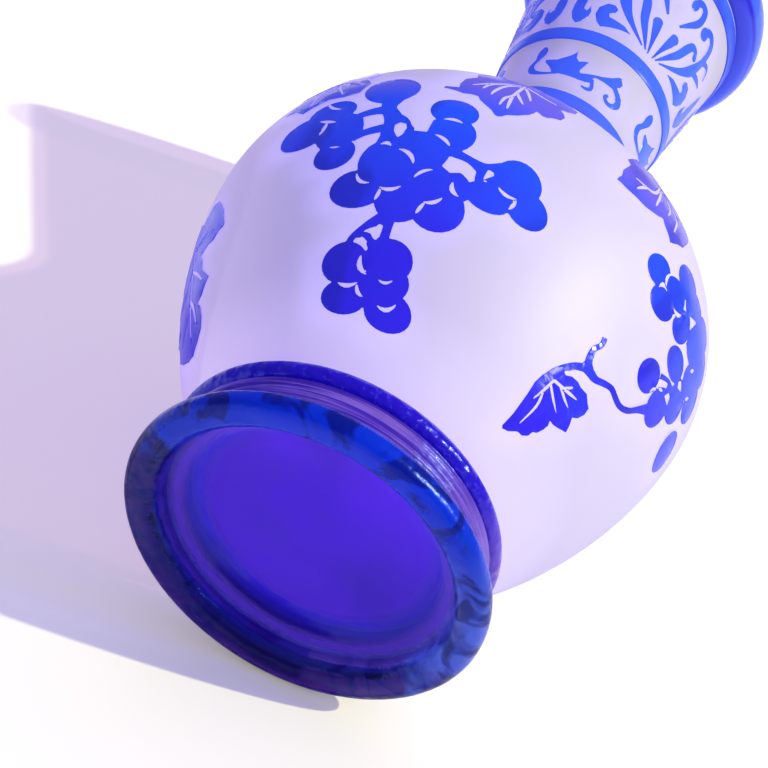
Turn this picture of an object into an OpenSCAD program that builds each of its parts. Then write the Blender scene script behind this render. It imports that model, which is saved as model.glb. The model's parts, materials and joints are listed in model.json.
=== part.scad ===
// Glass vase: a clear, frosted globe and neck, cased in blue glass that is cut away
// to leave a vine with grapes, neck ornaments, rings and a rim, on a blue glass foot.
// Millimetres. +Z is up, the origin is the middle of the foot's underside.
// The front of the vase faces -Y.

/* [Globe] */
// Widest diameter of the globe
globe_d = 158; // [130:1:190]
// Height of the widest circle above the table
belly_z = 107.5; // [95:0.5:125]
// Height from the widest circle to the pole of the upper curve
shoulder_h = 64.7; // [55:0.1:75]
// Fullness of the lower curve, where 2 is an ellipse
lower_fullness = 1.65; // [1.5:0.05:2]

/* [Neck] */
// Outer diameter at the middle of the root ring
neck_root_d = 52.6; // [46:0.2:60]
// Outer diameter at the middle of the neck band
neck_band_d = 60.2; // [54:0.2:70]
// Outer diameter at the lower edge of the rim band
neck_top_d = 72.4; // [66:0.2:82]
// Height from the pole of the upper curve to the middle of the root ring
neck_root_rise = 23.8; // [18:0.2:30]
// Height from the root ring to the neck band
root_to_band_h = 30.6; // [24:0.2:40]
// Height from the neck band to the rim band
band_to_rim_h = 50.7; // [40:0.1:62]

/* [Rim] */
// How far the rim ring stands out from the neck
rim_out = 6.9; // [4:0.1:12]
// Height of the flush band under the rim ring
rim_band_h = 6.5; // [4:0.5:10]
// Height of the rim ring
rim_ring_h = 18.5; // [14:0.5:24]
// Width of the narrow groove between band and ring
rim_groove_h = 1.2; // [0.6:0.1:2]

/* [Foot] */
// Widest diameter of the foot
foot_d = 108; // [96:1:124]
// Height of the foot's flange
foot_h = 7.4; // [5:0.2:11]
// Width of the flat ring that the foot stands on
contact_w = 3.1; // [1:0.1:5]
// Width of the roll from the flat ring in to the recess
roll_w = 4.5; // [2:0.1:8]
// Depth of the recess at its edge
recess_h = 6.8; // [3:0.2:7]
// Width of the slope from the recess's edge to its flat middle
slope_w = 4.8; // [2:0.1:8]
// Depth of the recess in its flat middle
disc_h = 8.6; // [7.4:0.2:12]
// How far the waist is set in from the flange's edge
waist_in = 6.5; // [4.5:0.1:10]
// Height of the waist
waist_h = 11.8; // [8:0.2:18]
// Number of fine ridges round the waist
ridges = 5; // [3:1:8]
// Depth of a ridge
ridge_depth = 0.5; // [0.2:0.1:0.9]

/* [Collar] */
// How far the bead stands out from the globe
collar_out = 10.3; // [7:0.1:13]
// Height of the bead
collar_h = 6; // [4:0.2:9]

/* [Glass] */
// Wall of the clear glass
wall = 4; // [2.5:0.5:6]
// Thickness of the blue casing left on the clear glass
casing = 0.6; // [0.4:0.1:1.6]
// Height of the inside floor above the table
inner_floor_z = 27; // [24:0.5:34]
// Height of the clear glass's underside
clear_floor_z = 15; // [13:0.5:18]

/* [Rings] */
// Height of the ring at the neck's root
root_ring_h = 5; // [3:0.2:8]
// Height of the band round the neck's middle
neck_band_h = 5.6; // [4:0.2:8]

/* [Ornament] */
// Width of a fine cut, such as a leaf's vein
vein_w = 0.7; // [0.4:0.1:1.2]
// How far the edge of an ornament bleeds past its drawing
edge_bleed = 0.05; // [0.02:0.01:0.2]

/* [Ornament places] */
// Direction that the main bunch faces, from the front towards +X
bunch_azimuth = -25; // [-90:1:90]
// Direction that the first sprig faces
sprig_azimuth = -12; // [-45:1:45]
// Direction that the first palmette faces
palmette_azimuth = 18.5; // [-60:0.5:60]

/* [Hidden] */

cobalt = [0.10, 0.08, 0.72];
deep_cobalt = [0.07, 0.03, 0.62];
frosted = [0.86, 0.84, 0.97, 0.55];

$fn = 96;

// Steps along the curves
globe_steps = 14;
neck_steps = 4;
turn_steps = 8;
round_steps = 6;
oval_sides = 24;
ribbon_steps = 4;
bow_steps = 5;

// Turns from the main bunch to the other pieces of the vine
side_bunch_turn = 75;
leaf_left_turn = 13;
leaf_right_turn = 50;
side_leaf_turn = -53;

// Turns between an ornament and its next copy
group_turn = 180;
sprig_turn = 90;
palmette_turn = 120;

// Derived sizes
globe_r = globe_d / 2;
neck_root_z = belly_z + shoulder_h + neck_root_rise;
neck_band_z = neck_root_z + root_to_band_h;
rim_band_z = neck_band_z + band_to_rim_h;
rim_ring_z = rim_band_z + rim_band_h + rim_groove_h;
lip_z = rim_ring_z + rim_ring_h;
collar_z = foot_h + waist_h;
collar_top_z = collar_z + collar_h;

// Where the globe's upper curve turns into the neck, as a share of the shoulder's height
turn_share = 0.8;
turn_z = belly_z + shoulder_h * turn_share;
// Pull of the turning curve at its two ends, as shares of its height
turn_pull_share = 0.36;
neck_pull_share = 0.42;

// Radius of a curve of fullness p, half height h and radius r at the height dz from its widest circle
function full_curve(r, h, p, dz) = r * pow(max(0, 1 - pow(min(1, abs(dz) / h), p)), 1 / p);

// Radius of the globe's outside at the height z, swollen by s
function globe_radius(z, s = 0) =
    z < belly_z
    ? full_curve(globe_r + s, belly_z + s, lower_fullness, z - belly_z)
    : full_curve(globe_r + s, shoulder_h + s, 2, z - belly_z);

// Radius of the neck's outside at the height z: a parabola through its three diameters
function neck_radius(z) =
    let (a = neck_root_z, b = neck_band_z, c = rim_band_z)
    (neck_root_d * (z - b) * (z - c) / ((a - b) * (a - c))
        + neck_band_d * (z - a) * (z - c) / ((b - a) * (b - c))
        + neck_top_d * (z - a) * (z - b) / ((c - a) * (c - b))) / 2;

function unit(v) = v / norm(v);
function blend(a, b, t) = a + (b - a) * t;
function cubic(a, b, c, d, t) =
    pow(1 - t, 3) * a + 3 * t * pow(1 - t, 2) * b + 3 * t * t * (1 - t) * c + pow(t, 3) * d;

// The turning curve from the shoulder up into the neck
turn_start = [globe_radius(turn_z), turn_z];
turn_end = [neck_radius(neck_root_z), neck_root_z];
turn_h = neck_root_z - turn_z;
slope_step = turn_h / 100;
globe_slope = globe_radius(turn_z + slope_step) - globe_radius(turn_z - slope_step);
neck_slope = neck_radius(neck_root_z + slope_step) - neck_radius(neck_root_z - slope_step);
turn_out = unit([globe_slope, 2 * slope_step]);
turn_in = unit([neck_slope, 2 * slope_step]);

function turn_curve() = [
    for (i = [1 : turn_steps - 1])
        cubic(turn_start, turn_start + turn_out * turn_h * turn_pull_share,
            turn_end - turn_in * turn_h * neck_pull_share, turn_end, i / turn_steps)
];

// Points of the globe's outside between two heights, closer together where the curve is tight
function globe_below(z0, s = 0) = [
    for (i = [0 : globe_steps - 1])
        let (z = blend(z0, belly_z, 1 - cos(90 * i / globe_steps)))
        [globe_radius(z, s), z]
];
function globe_above(z1, s = 0) = [
    for (i = [0 : globe_steps])
        let (z = blend(belly_z, z1, sin(90 * i / globe_steps)))
        [globe_radius(z, s), z]
];
function neck_line(z0, z1) = [
    for (i = [0 : neck_steps])
        let (z = blend(z0, z1, i / neck_steps))
        [neck_radius(z), z]
];

// The outside of the clear glass, which the casing lies on
neck_outside = concat(neck_line(neck_root_z, neck_band_z), neck_line(neck_band_z, rim_band_z));
outside = concat(
    globe_below(clear_floor_z), globe_above(turn_z), turn_curve(),
    [for (i = [0 : len(neck_outside) - 1]) if (i != neck_steps) neck_outside[i]],
    [for (z = [rim_band_z + rim_band_h, lip_z]) [neck_radius(z), z]]
);

// Inside of the clear glass
inner_r = globe_r - wall;
inner_drop = belly_z - inner_floor_z;
inner_turn_z = turn_z - wall / 2;
function inner_below() = [
    for (i = [0 : globe_steps - 1])
        let (z = blend(inner_floor_z, belly_z, 1 - cos(90 * i / globe_steps)))
        [full_curve(inner_r, inner_drop, 2, z - belly_z), z]
];
function inner_above() = [
    for (i = [0 : globe_steps])
        let (z = blend(belly_z, inner_turn_z, sin(90 * i / globe_steps)))
        [full_curve(inner_r, shoulder_h - wall, 2, z - belly_z), z]
];
inner_turn_start = [full_curve(inner_r, shoulder_h - wall, 2, inner_turn_z - belly_z), inner_turn_z];
inner_turn_end = turn_end - [wall, 0];
function inner_turn() = [
    for (i = [1 : turn_steps - 1])
        cubic(inner_turn_start, inner_turn_start + turn_out * turn_h * turn_pull_share,
            inner_turn_end - turn_in * turn_h * neck_pull_share, inner_turn_end, i / turn_steps)
];
inside_points = concat(
    inner_below(), inner_above(), inner_turn(),
    [for (p = neck_line(neck_root_z, lip_z)) p - [wall, 0]]
);

function reversed(l) = [for (i = [len(l) - 1 : -1 : 0]) l[i]];

// The space that the clear glass fills together with its inside
module filled_body() {
    rotate_extrude()
        polygon(concat([[0, clear_floor_z]], outside, [[0, lip_z]]));
}

module clear_body() {
    color(frosted)
        rotate_extrude()
            polygon(concat([[0, clear_floor_z]], outside, reversed(inside_points)));
}

// The layer of casing on the clear glass between two heights. Its inner face is the glass's own
// outside, and its outer face is the same line moved out square to the glass.
function square_out(i) =
    let (a = outside[i - 1], b = outside[i + 1])
    unit([b[1] - a[1], a[0] - b[0]]);
module casing_between(z0, z1) {
    kept = [
        for (i = [1 : len(outside) - 2])
            if (outside[i + 1][1] > z0 - casing && outside[i - 1][1] < z1 + casing) i
    ];
    intersection() {
        rotate_extrude()
            polygon(concat(
                [for (i = kept) outside[i]],
                reversed([for (i = kept) outside[i] + casing * square_out(i)])
            ));
        translate([0, 0, z0])
            cylinder(h = z1 - z0, r = globe_d);
    }
}

// Quarter round from angle a0 to a1 about the centre c
function round_corner(c, r, a0, a1) = [
    for (i = [0 : round_steps])
        let (a = blend(a0, a1, i / round_steps))
        c + r * [cos(a), sin(a)]
];

// The foot: flat ring, flange, ridged waist and a seat for the clear glass
foot_r = foot_d / 2;
foot_round_share = 0.46;
foot_round = foot_h * foot_round_share;
flange_in = foot_r - foot_round;
contact_inner_r = flange_in - contact_w;
recess_r = contact_inner_r - roll_w;
disc_r = recess_r - slope_w;
waist_r = foot_r - waist_in;
waist_round = foot_round / 2;
ridge_zone_h = waist_h - waist_round;
ridge_h = ridge_zone_h / ridges;
ridge_z0 = foot_h + waist_round;
// Inner lower rounding, from the flat ring up to the recess
inner_roll = [
    for (i = [0 : round_steps])
        let (a = 90 * i / round_steps)
        [
            blend(contact_inner_r, recess_r, sin(a)),
            recess_h * (1 - cos(a))
        ]
];
ridge_points = [
    for (i = [0 : ridges - 1]) for (t = [0, 0.5])
        [waist_r - (t == 0 ? 0 : ridge_depth), ridge_z0 + ridge_h * (i + t)]
];
module foot() {
    color(cobalt)
        difference() {
            rotate_extrude()
                polygon(concat(
                    [[0, disc_h], [disc_r, disc_h]],
                    reversed(inner_roll),
                    round_corner([flange_in, foot_round], foot_round, -90, 0),
                    round_corner([flange_in, foot_h - foot_round], foot_round, 0, 90),
                    [[waist_r + waist_round, foot_h]],
                    ridge_points,
                    [[waist_r, collar_z], [0, collar_z]]
                ));
            filled_body();
        }
}

// The bead where the globe starts: a half round ring on the globe
bead_r = collar_h / 2;
collar_r = globe_radius(collar_z + bead_r) + collar_out;
module collar() {
    color(deep_cobalt)
        difference() {
            rotate_extrude()
                polygon(concat(
                    [[0, collar_z]],
                    round_corner([collar_r - bead_r, collar_z + bead_r], bead_r, -90, 90),
                    [[0, collar_top_z]]
                ));
            filled_body();
        }
}

module neck_root_ring() {
    color(cobalt)
        casing_between(neck_root_z - root_ring_h / 2, neck_root_z + root_ring_h / 2);
}

module neck_band() {
    color(cobalt)
        casing_between(neck_band_z - neck_band_h / 2, neck_band_z + neck_band_h / 2);
}

module rim_band() {
    color(cobalt)
        casing_between(rim_band_z, rim_band_z + rim_band_h);
}

// The rim ring: a bold half round that rolls in to the lip
rim_root_r = neck_radius(rim_ring_z);
rim_r = rim_root_r + rim_out;
rim_round = rim_ring_h / 2;
module rim_ring() {
    color(cobalt)
        difference() {
            rotate_extrude()
                polygon(concat(
                    [[0, rim_ring_z]],
                    [
                        for (i = [0 : 2 * round_steps])
                            let (a = -90 + 180 * i / (2 * round_steps))
                            [
                                rim_root_r + rim_out * cos(a),
                                rim_ring_z + rim_round * (1 + sin(a))
                            ]
                    ],
                    [[0, lip_z]]
                ));
            filled_body();
        }
}

// Shapes of the ornament, in shares of the width and height of the field that it is drawn in
function drawn(field, points) = [for (p = points) [p[0] * field[0], p[1] * field[1]]];

// An oval is [x, z, half width, half height]
function oval(o) = [
    for (i = [0 : oval_sides - 1])
        let (a = 360 * i / oval_sides)
        [o[0] + o[2] * cos(a), o[1] + o[3] * sin(a)]
];

// A smooth line through its points, each [x, z, half width]
function through(p0, p1, p2, p3, t) =
    (2 * p1 + (p2 - p0) * t + (2 * p0 - 5 * p1 + 4 * p2 - p3) * t * t
        + (3 * p1 - p0 - 3 * p2 + p3) * t * t * t) / 2;
function smooth_line(c) = concat(
    [
        for (i = [0 : len(c) - 2]) for (j = [0 : ribbon_steps - 1])
            through(c[max(i - 1, 0)], c[i], c[i + 1], c[min(i + 2, len(c) - 1)], j / ribbon_steps)
    ],
    [c[len(c) - 1]]
);
function across(line, i) =
    let (a = line[max(i - 1, 0)], b = line[min(i + 1, len(line) - 1)])
    unit([a[1] - b[1], b[0] - a[0]]);
function ribbon_edge(line, side) = [
    for (i = [0 : len(line) - 1])
        [line[i][0], line[i][1]] + side * line[i][2] * across(line, i)
];
function ribbon(c) =
    let (line = smooth_line(c))
    concat(ribbon_edge(line, 1), reversed(ribbon_edge(line, -1)));

// A crescent from [x1, z1] to [x2, z2], bowed to its left by the fifth number and as thick as the sixth
function bow_line(c, bow) =
    let (p = [c[0], c[1]], q = [c[2], c[3]])
    let (m = (p + q) / 2 + 2 * bow * unit([p[1] - q[1], q[0] - p[0]]))
    [
        for (i = [0 : bow_steps])
            let (t = i / bow_steps)
            (1 - t) * (1 - t) * p + 2 * t * (1 - t) * m + t * t * q
    ];
function crescent(c) =
    let (inner_bow = bow_line(c, c[4] - c[5]))
    concat(bow_line(c, c[4]), [for (i = [bow_steps - 1 : -1 : 1]) inner_bow[i]]);

module ovals(field, shares) {
    for (o = shares)
        polygon(drawn(field, oval(o)));
}
module ribbons(field, shares) {
    for (c = shares)
        polygon(drawn(field, ribbon(c)));
}
module crescents(field, shares) {
    for (c = shares)
        polygon(drawn(field, crescent(c)));
}
module patches(field, shares) {
    for (c = shares)
        polygon(drawn(field, c));
}

// A vein is a fine cut that tapers to this share of its width at its last point
vein_tip_share = 0.3;
function vein_half(field, is_tip) = vein_w / field[0] / 2 * (is_tip ? vein_tip_share : 1);
module veins(field, shares) {
    for (c = shares)
        polygon(drawn(field, ribbon([
            for (i = [0 : len(c) - 1])
                [c[i][0], c[i][1], vein_half(field, i == len(c) - 1)]
        ])));
}
module both_sides() {
    children();
    mirror([1, 0, 0])
        children();
}

// The square field that the vine is drawn in, and the heights of its middle
vine_share = 1.177;
vine_side = globe_r * vine_share;
vine_field = [vine_side, vine_side];
vine_drop_share = 0.311;
leaf_rise_share = 0.16;
side_leaf_drop_share = 0.46;
vine_z = belly_z - vine_side * vine_drop_share;
leaf_z = belly_z + vine_side * leaf_rise_share;
side_leaf_z = belly_z - vine_side * side_leaf_drop_share;

// Cuts a drawing out of the globe's casing, facing the azimuth given
module left_standing(azimuth, z) {
    color(cobalt)
        intersection() {
            casing_between(collar_top_z, turn_z);
            rotate([0, 0, azimuth])
                translate([0, 0, z])
                    rotate([90, 0, 0])
                        linear_extrude(globe_d)
                            offset(delta = edge_bleed)
                                children();
        }
}

// Main bunch: grapes of the middle, the right arm, the left arm and the lower bunch
bunch_grape_shares = [
    [0.050, 0.280, 0.077, 0.058], [0.073, 0.190, 0.079, 0.072], [0.020, 0.100, 0.083, 0.082],
    [-0.070, 0.040, 0.090, 0.085], [-0.122, -0.065, 0.087, 0.065], [0.130, -0.065, 0.084, 0.076],
    [0.020, -0.075, 0.080, 0.073], [0.120, 0.010, 0.088, 0.060], [0.045, -0.010, 0.080, 0.080],
    [0.310, 0.125, 0.071, 0.068], [0.362, 0.056, 0.063, 0.058], [0.250, 0.026, 0.070, 0.046],
    [0.290, 0.060, 0.060, 0.050],
    [-0.180, 0.350, 0.090, 0.078], [-0.390, 0.166, 0.087, 0.072], [-0.270, 0.150, 0.076, 0.078],
    [-0.247, 0.055, 0.067, 0.058], [-0.335, 0.245, 0.080, 0.055],
    [0.055, -0.255, 0.075, 0.061], [-0.070, -0.285, 0.070, 0.058], [-0.036, -0.374, 0.071, 0.045],
    [0.103, -0.380, 0.073, 0.050], [0.075, -0.310, 0.066, 0.050], [0.018, -0.335, 0.050, 0.036]
];
bunch_stem_shares = [
    [[-0.155, 0.300, 0.040], [-0.150, 0.250, 0.025], [-0.115, 0.200, 0.030], [-0.100, 0.130, 0.032],
        [-0.090, 0.060, 0.050]],
    [[-0.130, 0.225, 0.014], [-0.080, 0.205, 0.012], [-0.055, 0.170, 0.018], [-0.030, 0.130, 0.050]],
    [[-0.255, 0.200, 0.014], [-0.200, 0.230, 0.018], [-0.145, 0.245, 0.022]],
    [[-0.215, 0.115, 0.016], [-0.180, 0.142, 0.016], [-0.125, 0.165, 0.018]],
    [[0.100, 0.125, 0.020], [0.160, 0.118, 0.014], [0.210, 0.105, 0.026], [0.260, 0.110, 0.050]],
    [[0.205, 0.115, 0.014], [0.208, 0.070, 0.014], [0.230, 0.040, 0.020]],
    [[0.005, -0.130, 0.030], [0.015, -0.165, 0.018], [0.018, -0.215, 0.020]],
    [[-0.010, -0.145, 0.022], [-0.050, -0.178, 0.012], [-0.076, -0.220, 0.012], [-0.078, -0.260, 0.014]],
    [[-0.060, -0.205, 0.008], [-0.030, -0.205, 0.012], [0.000, -0.235, 0.016]]
];
bunch_cut_shares = [
    [0.030, 0.238, 0.092, 0.242, 0.012, 0.010], [0.030, 0.170, 0.090, 0.140, 0.012, 0.010],
    [-0.115, 0.096, -0.078, 0.094, 0.016, 0.012], [-0.055, 0.088, 0.013, 0.045, 0.020, 0.012],
    [0.030, 0.000, 0.077, 0.046, 0.014, 0.010], [0.143, 0.030, 0.178, -0.012, -0.006, 0.012],
    [0.080, -0.107, 0.092, -0.062, 0.006, 0.010], [0.084, -0.064, 0.136, -0.030, -0.004, 0.012],
    [-0.145, -0.012, -0.088, -0.040, -0.010, 0.010], [-0.060, -0.050, 0.008, -0.032, -0.006, 0.012],
    [-0.055, -0.096, -0.052, -0.052, 0.002, 0.009], [0.265, 0.075, 0.330, 0.069, -0.006, 0.010],
    [0.317, 0.024, 0.325, 0.066, 0.002, 0.010],
    [-0.375, 0.302, -0.308, 0.256, -0.006, 0.009], [-0.365, 0.210, -0.300, 0.193, 0.004, 0.012],
    [-0.338, 0.142, -0.332, 0.200, 0.003, 0.010], [-0.278, 0.086, -0.240, 0.086, 0.000, 0.006],
    [-0.028, -0.255, 0.012, -0.308, -0.008, 0.013], [0.045, -0.310, 0.090, -0.300, -0.006, 0.008],
    [-0.070, -0.340, -0.007, -0.330, -0.004, 0.012], [-0.010, -0.333, 0.022, -0.365, -0.004, 0.009],
    [0.065, -0.373, 0.122, -0.352, -0.010, 0.012]
];
bunch_gap_shares = [
    [[0.107, 0.107], [0.150, 0.100], [0.188, 0.090], [0.188, 0.067], [0.150, 0.064], [0.125, 0.053],
        [0.095, 0.066]],
    [[0.222, 0.112], [0.236, 0.110], [0.243, 0.100], [0.220, 0.072]],
    [[-0.213, 0.205], [-0.170, 0.220], [-0.152, 0.198], [-0.152, 0.180], [-0.192, 0.158]],
    [[-0.100, 0.178], [-0.088, 0.190], [-0.070, 0.188], [-0.062, 0.172], [-0.065, 0.145], [-0.074, 0.132],
        [-0.093, 0.155]],
    [[-0.024, -0.188], [-0.010, -0.162], [0.002, -0.165], [0.003, -0.200], [-0.006, -0.210], [-0.020, -0.198]],
    [[-0.062, -0.222], [-0.045, -0.208], [-0.026, -0.220], [-0.030, -0.235], [-0.055, -0.228]],
    [[0.003, 0.172], [-0.035, 0.168], [-0.036, 0.215], [0.003, 0.225]]
];
module main_bunch(azimuth) {
    left_standing(azimuth, vine_z)
        difference() {
            union() {
                ovals(vine_field, bunch_grape_shares);
                ribbons(vine_field, bunch_stem_shares);
            }
            crescents(vine_field, bunch_cut_shares);
            patches(vine_field, bunch_gap_shares);
        }
}

// Side bunch, with a stem that ends in a tendril and a half leaf
side_grape_shares = [
    [-0.255, 0.250, 0.053, 0.053], [-0.158, 0.255, 0.065, 0.056], [-0.178, 0.190, 0.062, 0.050],
    [-0.060, 0.230, 0.057, 0.054], [-0.130, 0.352, 0.066, 0.058], [0.050, 0.274, 0.070, 0.056],
    [-0.050, 0.330, 0.070, 0.055], [0.140, 0.208, 0.068, 0.042], [0.150, 0.120, 0.072, 0.058],
    [-0.030, 0.025, 0.058, 0.052], [0.095, 0.030, 0.065, 0.062], [0.022, 0.151, 0.067, 0.044],
    [0.060, 0.340, 0.070, 0.055], [0.150, 0.290, 0.075, 0.060], [0.230, 0.220, 0.070, 0.060]
];
side_stem_shares = [
    [[-0.233, -0.058, 0.009], [-0.222, -0.080, 0.010], [-0.227, -0.110, 0.011], [-0.208, -0.143, 0.012],
        [-0.180, -0.155, 0.013]],
    [[-0.215, -0.165, 0.013], [-0.180, -0.156, 0.014], [-0.150, -0.152, 0.012], [-0.120, -0.133, 0.011],
        [-0.090, -0.118, 0.010], [-0.055, -0.117, 0.010], [-0.020, -0.112, 0.010], [0.015, -0.088, 0.011],
        [0.040, -0.050, 0.013], [0.065, -0.015, 0.020]],
    [[-0.190, -0.155, 0.014], [-0.225, -0.187, 0.013], [-0.243, -0.240, 0.014], [-0.240, -0.290, 0.012]],
    [[0.005, 0.070, 0.010], [0.050, 0.100, 0.008], [0.100, 0.105, 0.012]],
    [[0.060, 0.085, 0.012], [0.090, 0.110, 0.014], [0.110, 0.150, 0.020], [0.120, 0.190, 0.020]],
    [[0.080, 0.150, 0.012], [0.120, 0.160, 0.020], [0.160, 0.180, 0.030]],
    [[0.000, 0.240, 0.012], [0.060, 0.240, 0.020], [0.120, 0.240, 0.020]]
];
half_leaf_shares = [
    [-0.240, -0.210], [-0.220, -0.222], [-0.205, -0.208], [-0.180, -0.201], [-0.160, -0.202], [-0.130, -0.195],
    [-0.105, -0.205], [-0.086, -0.209], [-0.077, -0.230], [-0.080, -0.251], [-0.094, -0.265], [-0.078, -0.280],
    [-0.065, -0.298], [-0.090, -0.312], [-0.110, -0.321], [-0.130, -0.323], [-0.118, -0.335], [-0.115, -0.352],
    [-0.118, -0.370], [-0.128, -0.378], [-0.126, -0.394], [-0.135, -0.405], [-0.153, -0.409], [-0.168, -0.428],
    [-0.185, -0.436], [-0.195, -0.430], [-0.210, -0.390], [-0.235, -0.335], [-0.253, -0.300], [-0.258, -0.270],
    [-0.254, -0.240]
];
half_leaf_vein_shares = [
    [[-0.225, -0.256], [-0.190, -0.247], [-0.160, -0.238], [-0.135, -0.230]],
    [[-0.186, -0.245], [-0.173, -0.222]],
    [[-0.200, -0.250], [-0.160, -0.259], [-0.130, -0.262]],
    [[-0.221, -0.270], [-0.180, -0.286], [-0.140, -0.298]],
    [[-0.225, -0.256], [-0.219, -0.290], [-0.215, -0.330]],
    [[-0.215, -0.300], [-0.190, -0.335], [-0.174, -0.395]]
];
side_cut_shares = [
    [-0.213, 0.290, -0.198, 0.235, -0.006, 0.012], [-0.188, 0.232, -0.225, 0.205, -0.010, 0.012],
    [-0.135, 0.226, -0.088, 0.250, -0.004, 0.012], [-0.112, 0.226, -0.110, 0.203, 0.003, 0.009],
    [0.020, 0.008, 0.033, 0.042, 0.008, 0.009], [0.035, 0.050, 0.060, 0.066, 0.004, 0.008],
    [0.105, 0.225, 0.122, 0.250, 0.004, 0.010], [0.180, 0.180, 0.195, 0.205, 0.004, 0.010]
];
side_gap_shares = [
    [[0.082, 0.070], [0.088, 0.092], [0.105, 0.094], [0.124, 0.076]],
    [[0.022, 0.065], [0.048, 0.081], [0.036, 0.067]],
    [[-0.055, 0.290], [-0.012, 0.314], [-0.020, 0.268], [-0.036, 0.280]],
    [[0.090, 0.150], [0.100, 0.165], [0.135, 0.158], [0.105, 0.142]]
];
module side_bunch(azimuth) {
    left_standing(azimuth, vine_z)
        difference() {
            union() {
                ovals(vine_field, side_grape_shares);
                ribbons(vine_field, side_stem_shares);
                patches(vine_field, [half_leaf_shares]);
            }
            crescents(vine_field, side_cut_shares);
            patches(vine_field, side_gap_shares);
            veins(vine_field, half_leaf_vein_shares);
        }
}

lone_grape_shares = [[0.320, 0.092, 0.071, 0.064]];
module lone_grape(azimuth) {
    left_standing(azimuth, vine_z)
        ovals(vine_field, lone_grape_shares);
}

// Leaves that hang from the shoulder
leaf_left_shares = [
    [-0.022, -0.153], [-0.010, -0.145], [0.000, -0.128], [0.030, -0.108], [0.055, -0.080], [0.066, -0.055],
    [0.068, -0.040], [0.090, -0.050], [0.105, -0.046], [0.120, -0.030], [0.142, -0.015], [0.148, 0.015],
    [0.138, 0.040], [0.120, 0.060], [0.140, 0.070], [0.160, 0.100], [0.160, 0.140], [0.130, 0.170],
    [0.080, 0.180], [0.040, 0.170], [0.016, 0.190], [0.012, 0.290], [-0.012, 0.290], [-0.016, 0.190],
    [-0.050, 0.170], [-0.100, 0.180], [-0.140, 0.150], [-0.170, 0.110], [-0.160, 0.060], [-0.185, 0.020],
    [-0.187, -0.030], [-0.180, -0.055], [-0.220, -0.064], [-0.222, -0.078], [-0.180, -0.083], [-0.155, -0.090],
    [-0.130, -0.082], [-0.110, -0.083], [-0.100, -0.100], [-0.075, -0.117], [-0.050, -0.132], [-0.035, -0.148]
];
leaf_left_vein_shares = [
    [[-0.020, 0.130], [-0.020, 0.060], [-0.023, 0.000], [-0.038, -0.040], [-0.039, -0.088]],
    [[-0.023, -0.010], [-0.018, -0.050], [-0.012, -0.095]],
    [[-0.020, 0.030], [0.000, -0.005], [0.020, -0.035]],
    [[-0.015, 0.110], [0.010, 0.060], [0.031, 0.010]],
    [[-0.020, 0.120], [-0.060, 0.060], [-0.078, -0.010], [-0.080, -0.045]],
    [[-0.030, 0.125], [-0.090, 0.050], [-0.150, -0.015]],
    [[-0.090, 0.050], [-0.108, 0.015], [-0.115, -0.020]],
    [[-0.010, 0.125], [0.050, 0.090], [0.100, 0.080]]
];
leaf_right_shares = [
    [-0.165, -0.098], [-0.120, -0.100], [-0.080, -0.095], [-0.040, -0.092], [-0.010, -0.078], [0.015, -0.065],
    [0.035, -0.048], [0.050, -0.065], [0.075, -0.080], [0.095, -0.100], [0.110, -0.085], [0.130, -0.060],
    [0.155, -0.040], [0.170, 0.000], [0.185, 0.050], [0.170, 0.100], [0.140, 0.120], [0.100, 0.150],
    [0.050, 0.140], [0.016, 0.170], [0.012, 0.290], [-0.012, 0.290], [-0.016, 0.170], [-0.050, 0.145],
    [-0.100, 0.150], [-0.130, 0.100], [-0.148, 0.060], [-0.135, 0.040], [-0.145, 0.010], [-0.158, -0.030],
    [-0.155, -0.060], [-0.163, -0.080]
];
leaf_right_vein_shares = [
    [[0.010, 0.120], [-0.020, 0.030], [-0.060, 0.005], [-0.105, -0.005]],
    [[-0.055, 0.008], [-0.075, -0.022], [-0.092, -0.052]],
    [[0.012, 0.110], [0.008, 0.060], [0.000, 0.010], [-0.006, -0.030]],
    [[0.020, 0.120], [0.060, 0.060], [0.055, 0.005]],
    [[0.030, 0.120], [0.095, 0.060], [0.102, 0.020], [0.096, -0.035]]
];
leaf_far_left_shares = [
    [-0.460, 0.285], [-0.420, 0.305], [-0.380, 0.325], [-0.330, 0.322], [-0.285, 0.340], [-0.272, 0.400],
    [-0.300, 0.440], [-0.280, 0.500], [-0.330, 0.560], [-0.390, 0.540], [-0.440, 0.570], [-0.490, 0.500],
    [-0.540, 0.460], [-0.520, 0.400], [-0.540, 0.330], [-0.500, 0.320]
];
leaf_far_left_vein_shares = [
    [[-0.410, 0.530], [-0.400, 0.440], [-0.350, 0.350]],
    [[-0.400, 0.450], [-0.440, 0.380], [-0.450, 0.320]],
    [[-0.405, 0.470], [-0.470, 0.440], [-0.515, 0.440]],
    [[-0.400, 0.460], [-0.350, 0.440], [-0.310, 0.410]]
];
module leaf(azimuth, z, outline_shares, vein_shares) {
    left_standing(azimuth, z)
        difference() {
            patches(vine_field, [outline_shares]);
            veins(vine_field, vein_shares);
        }
}

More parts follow.
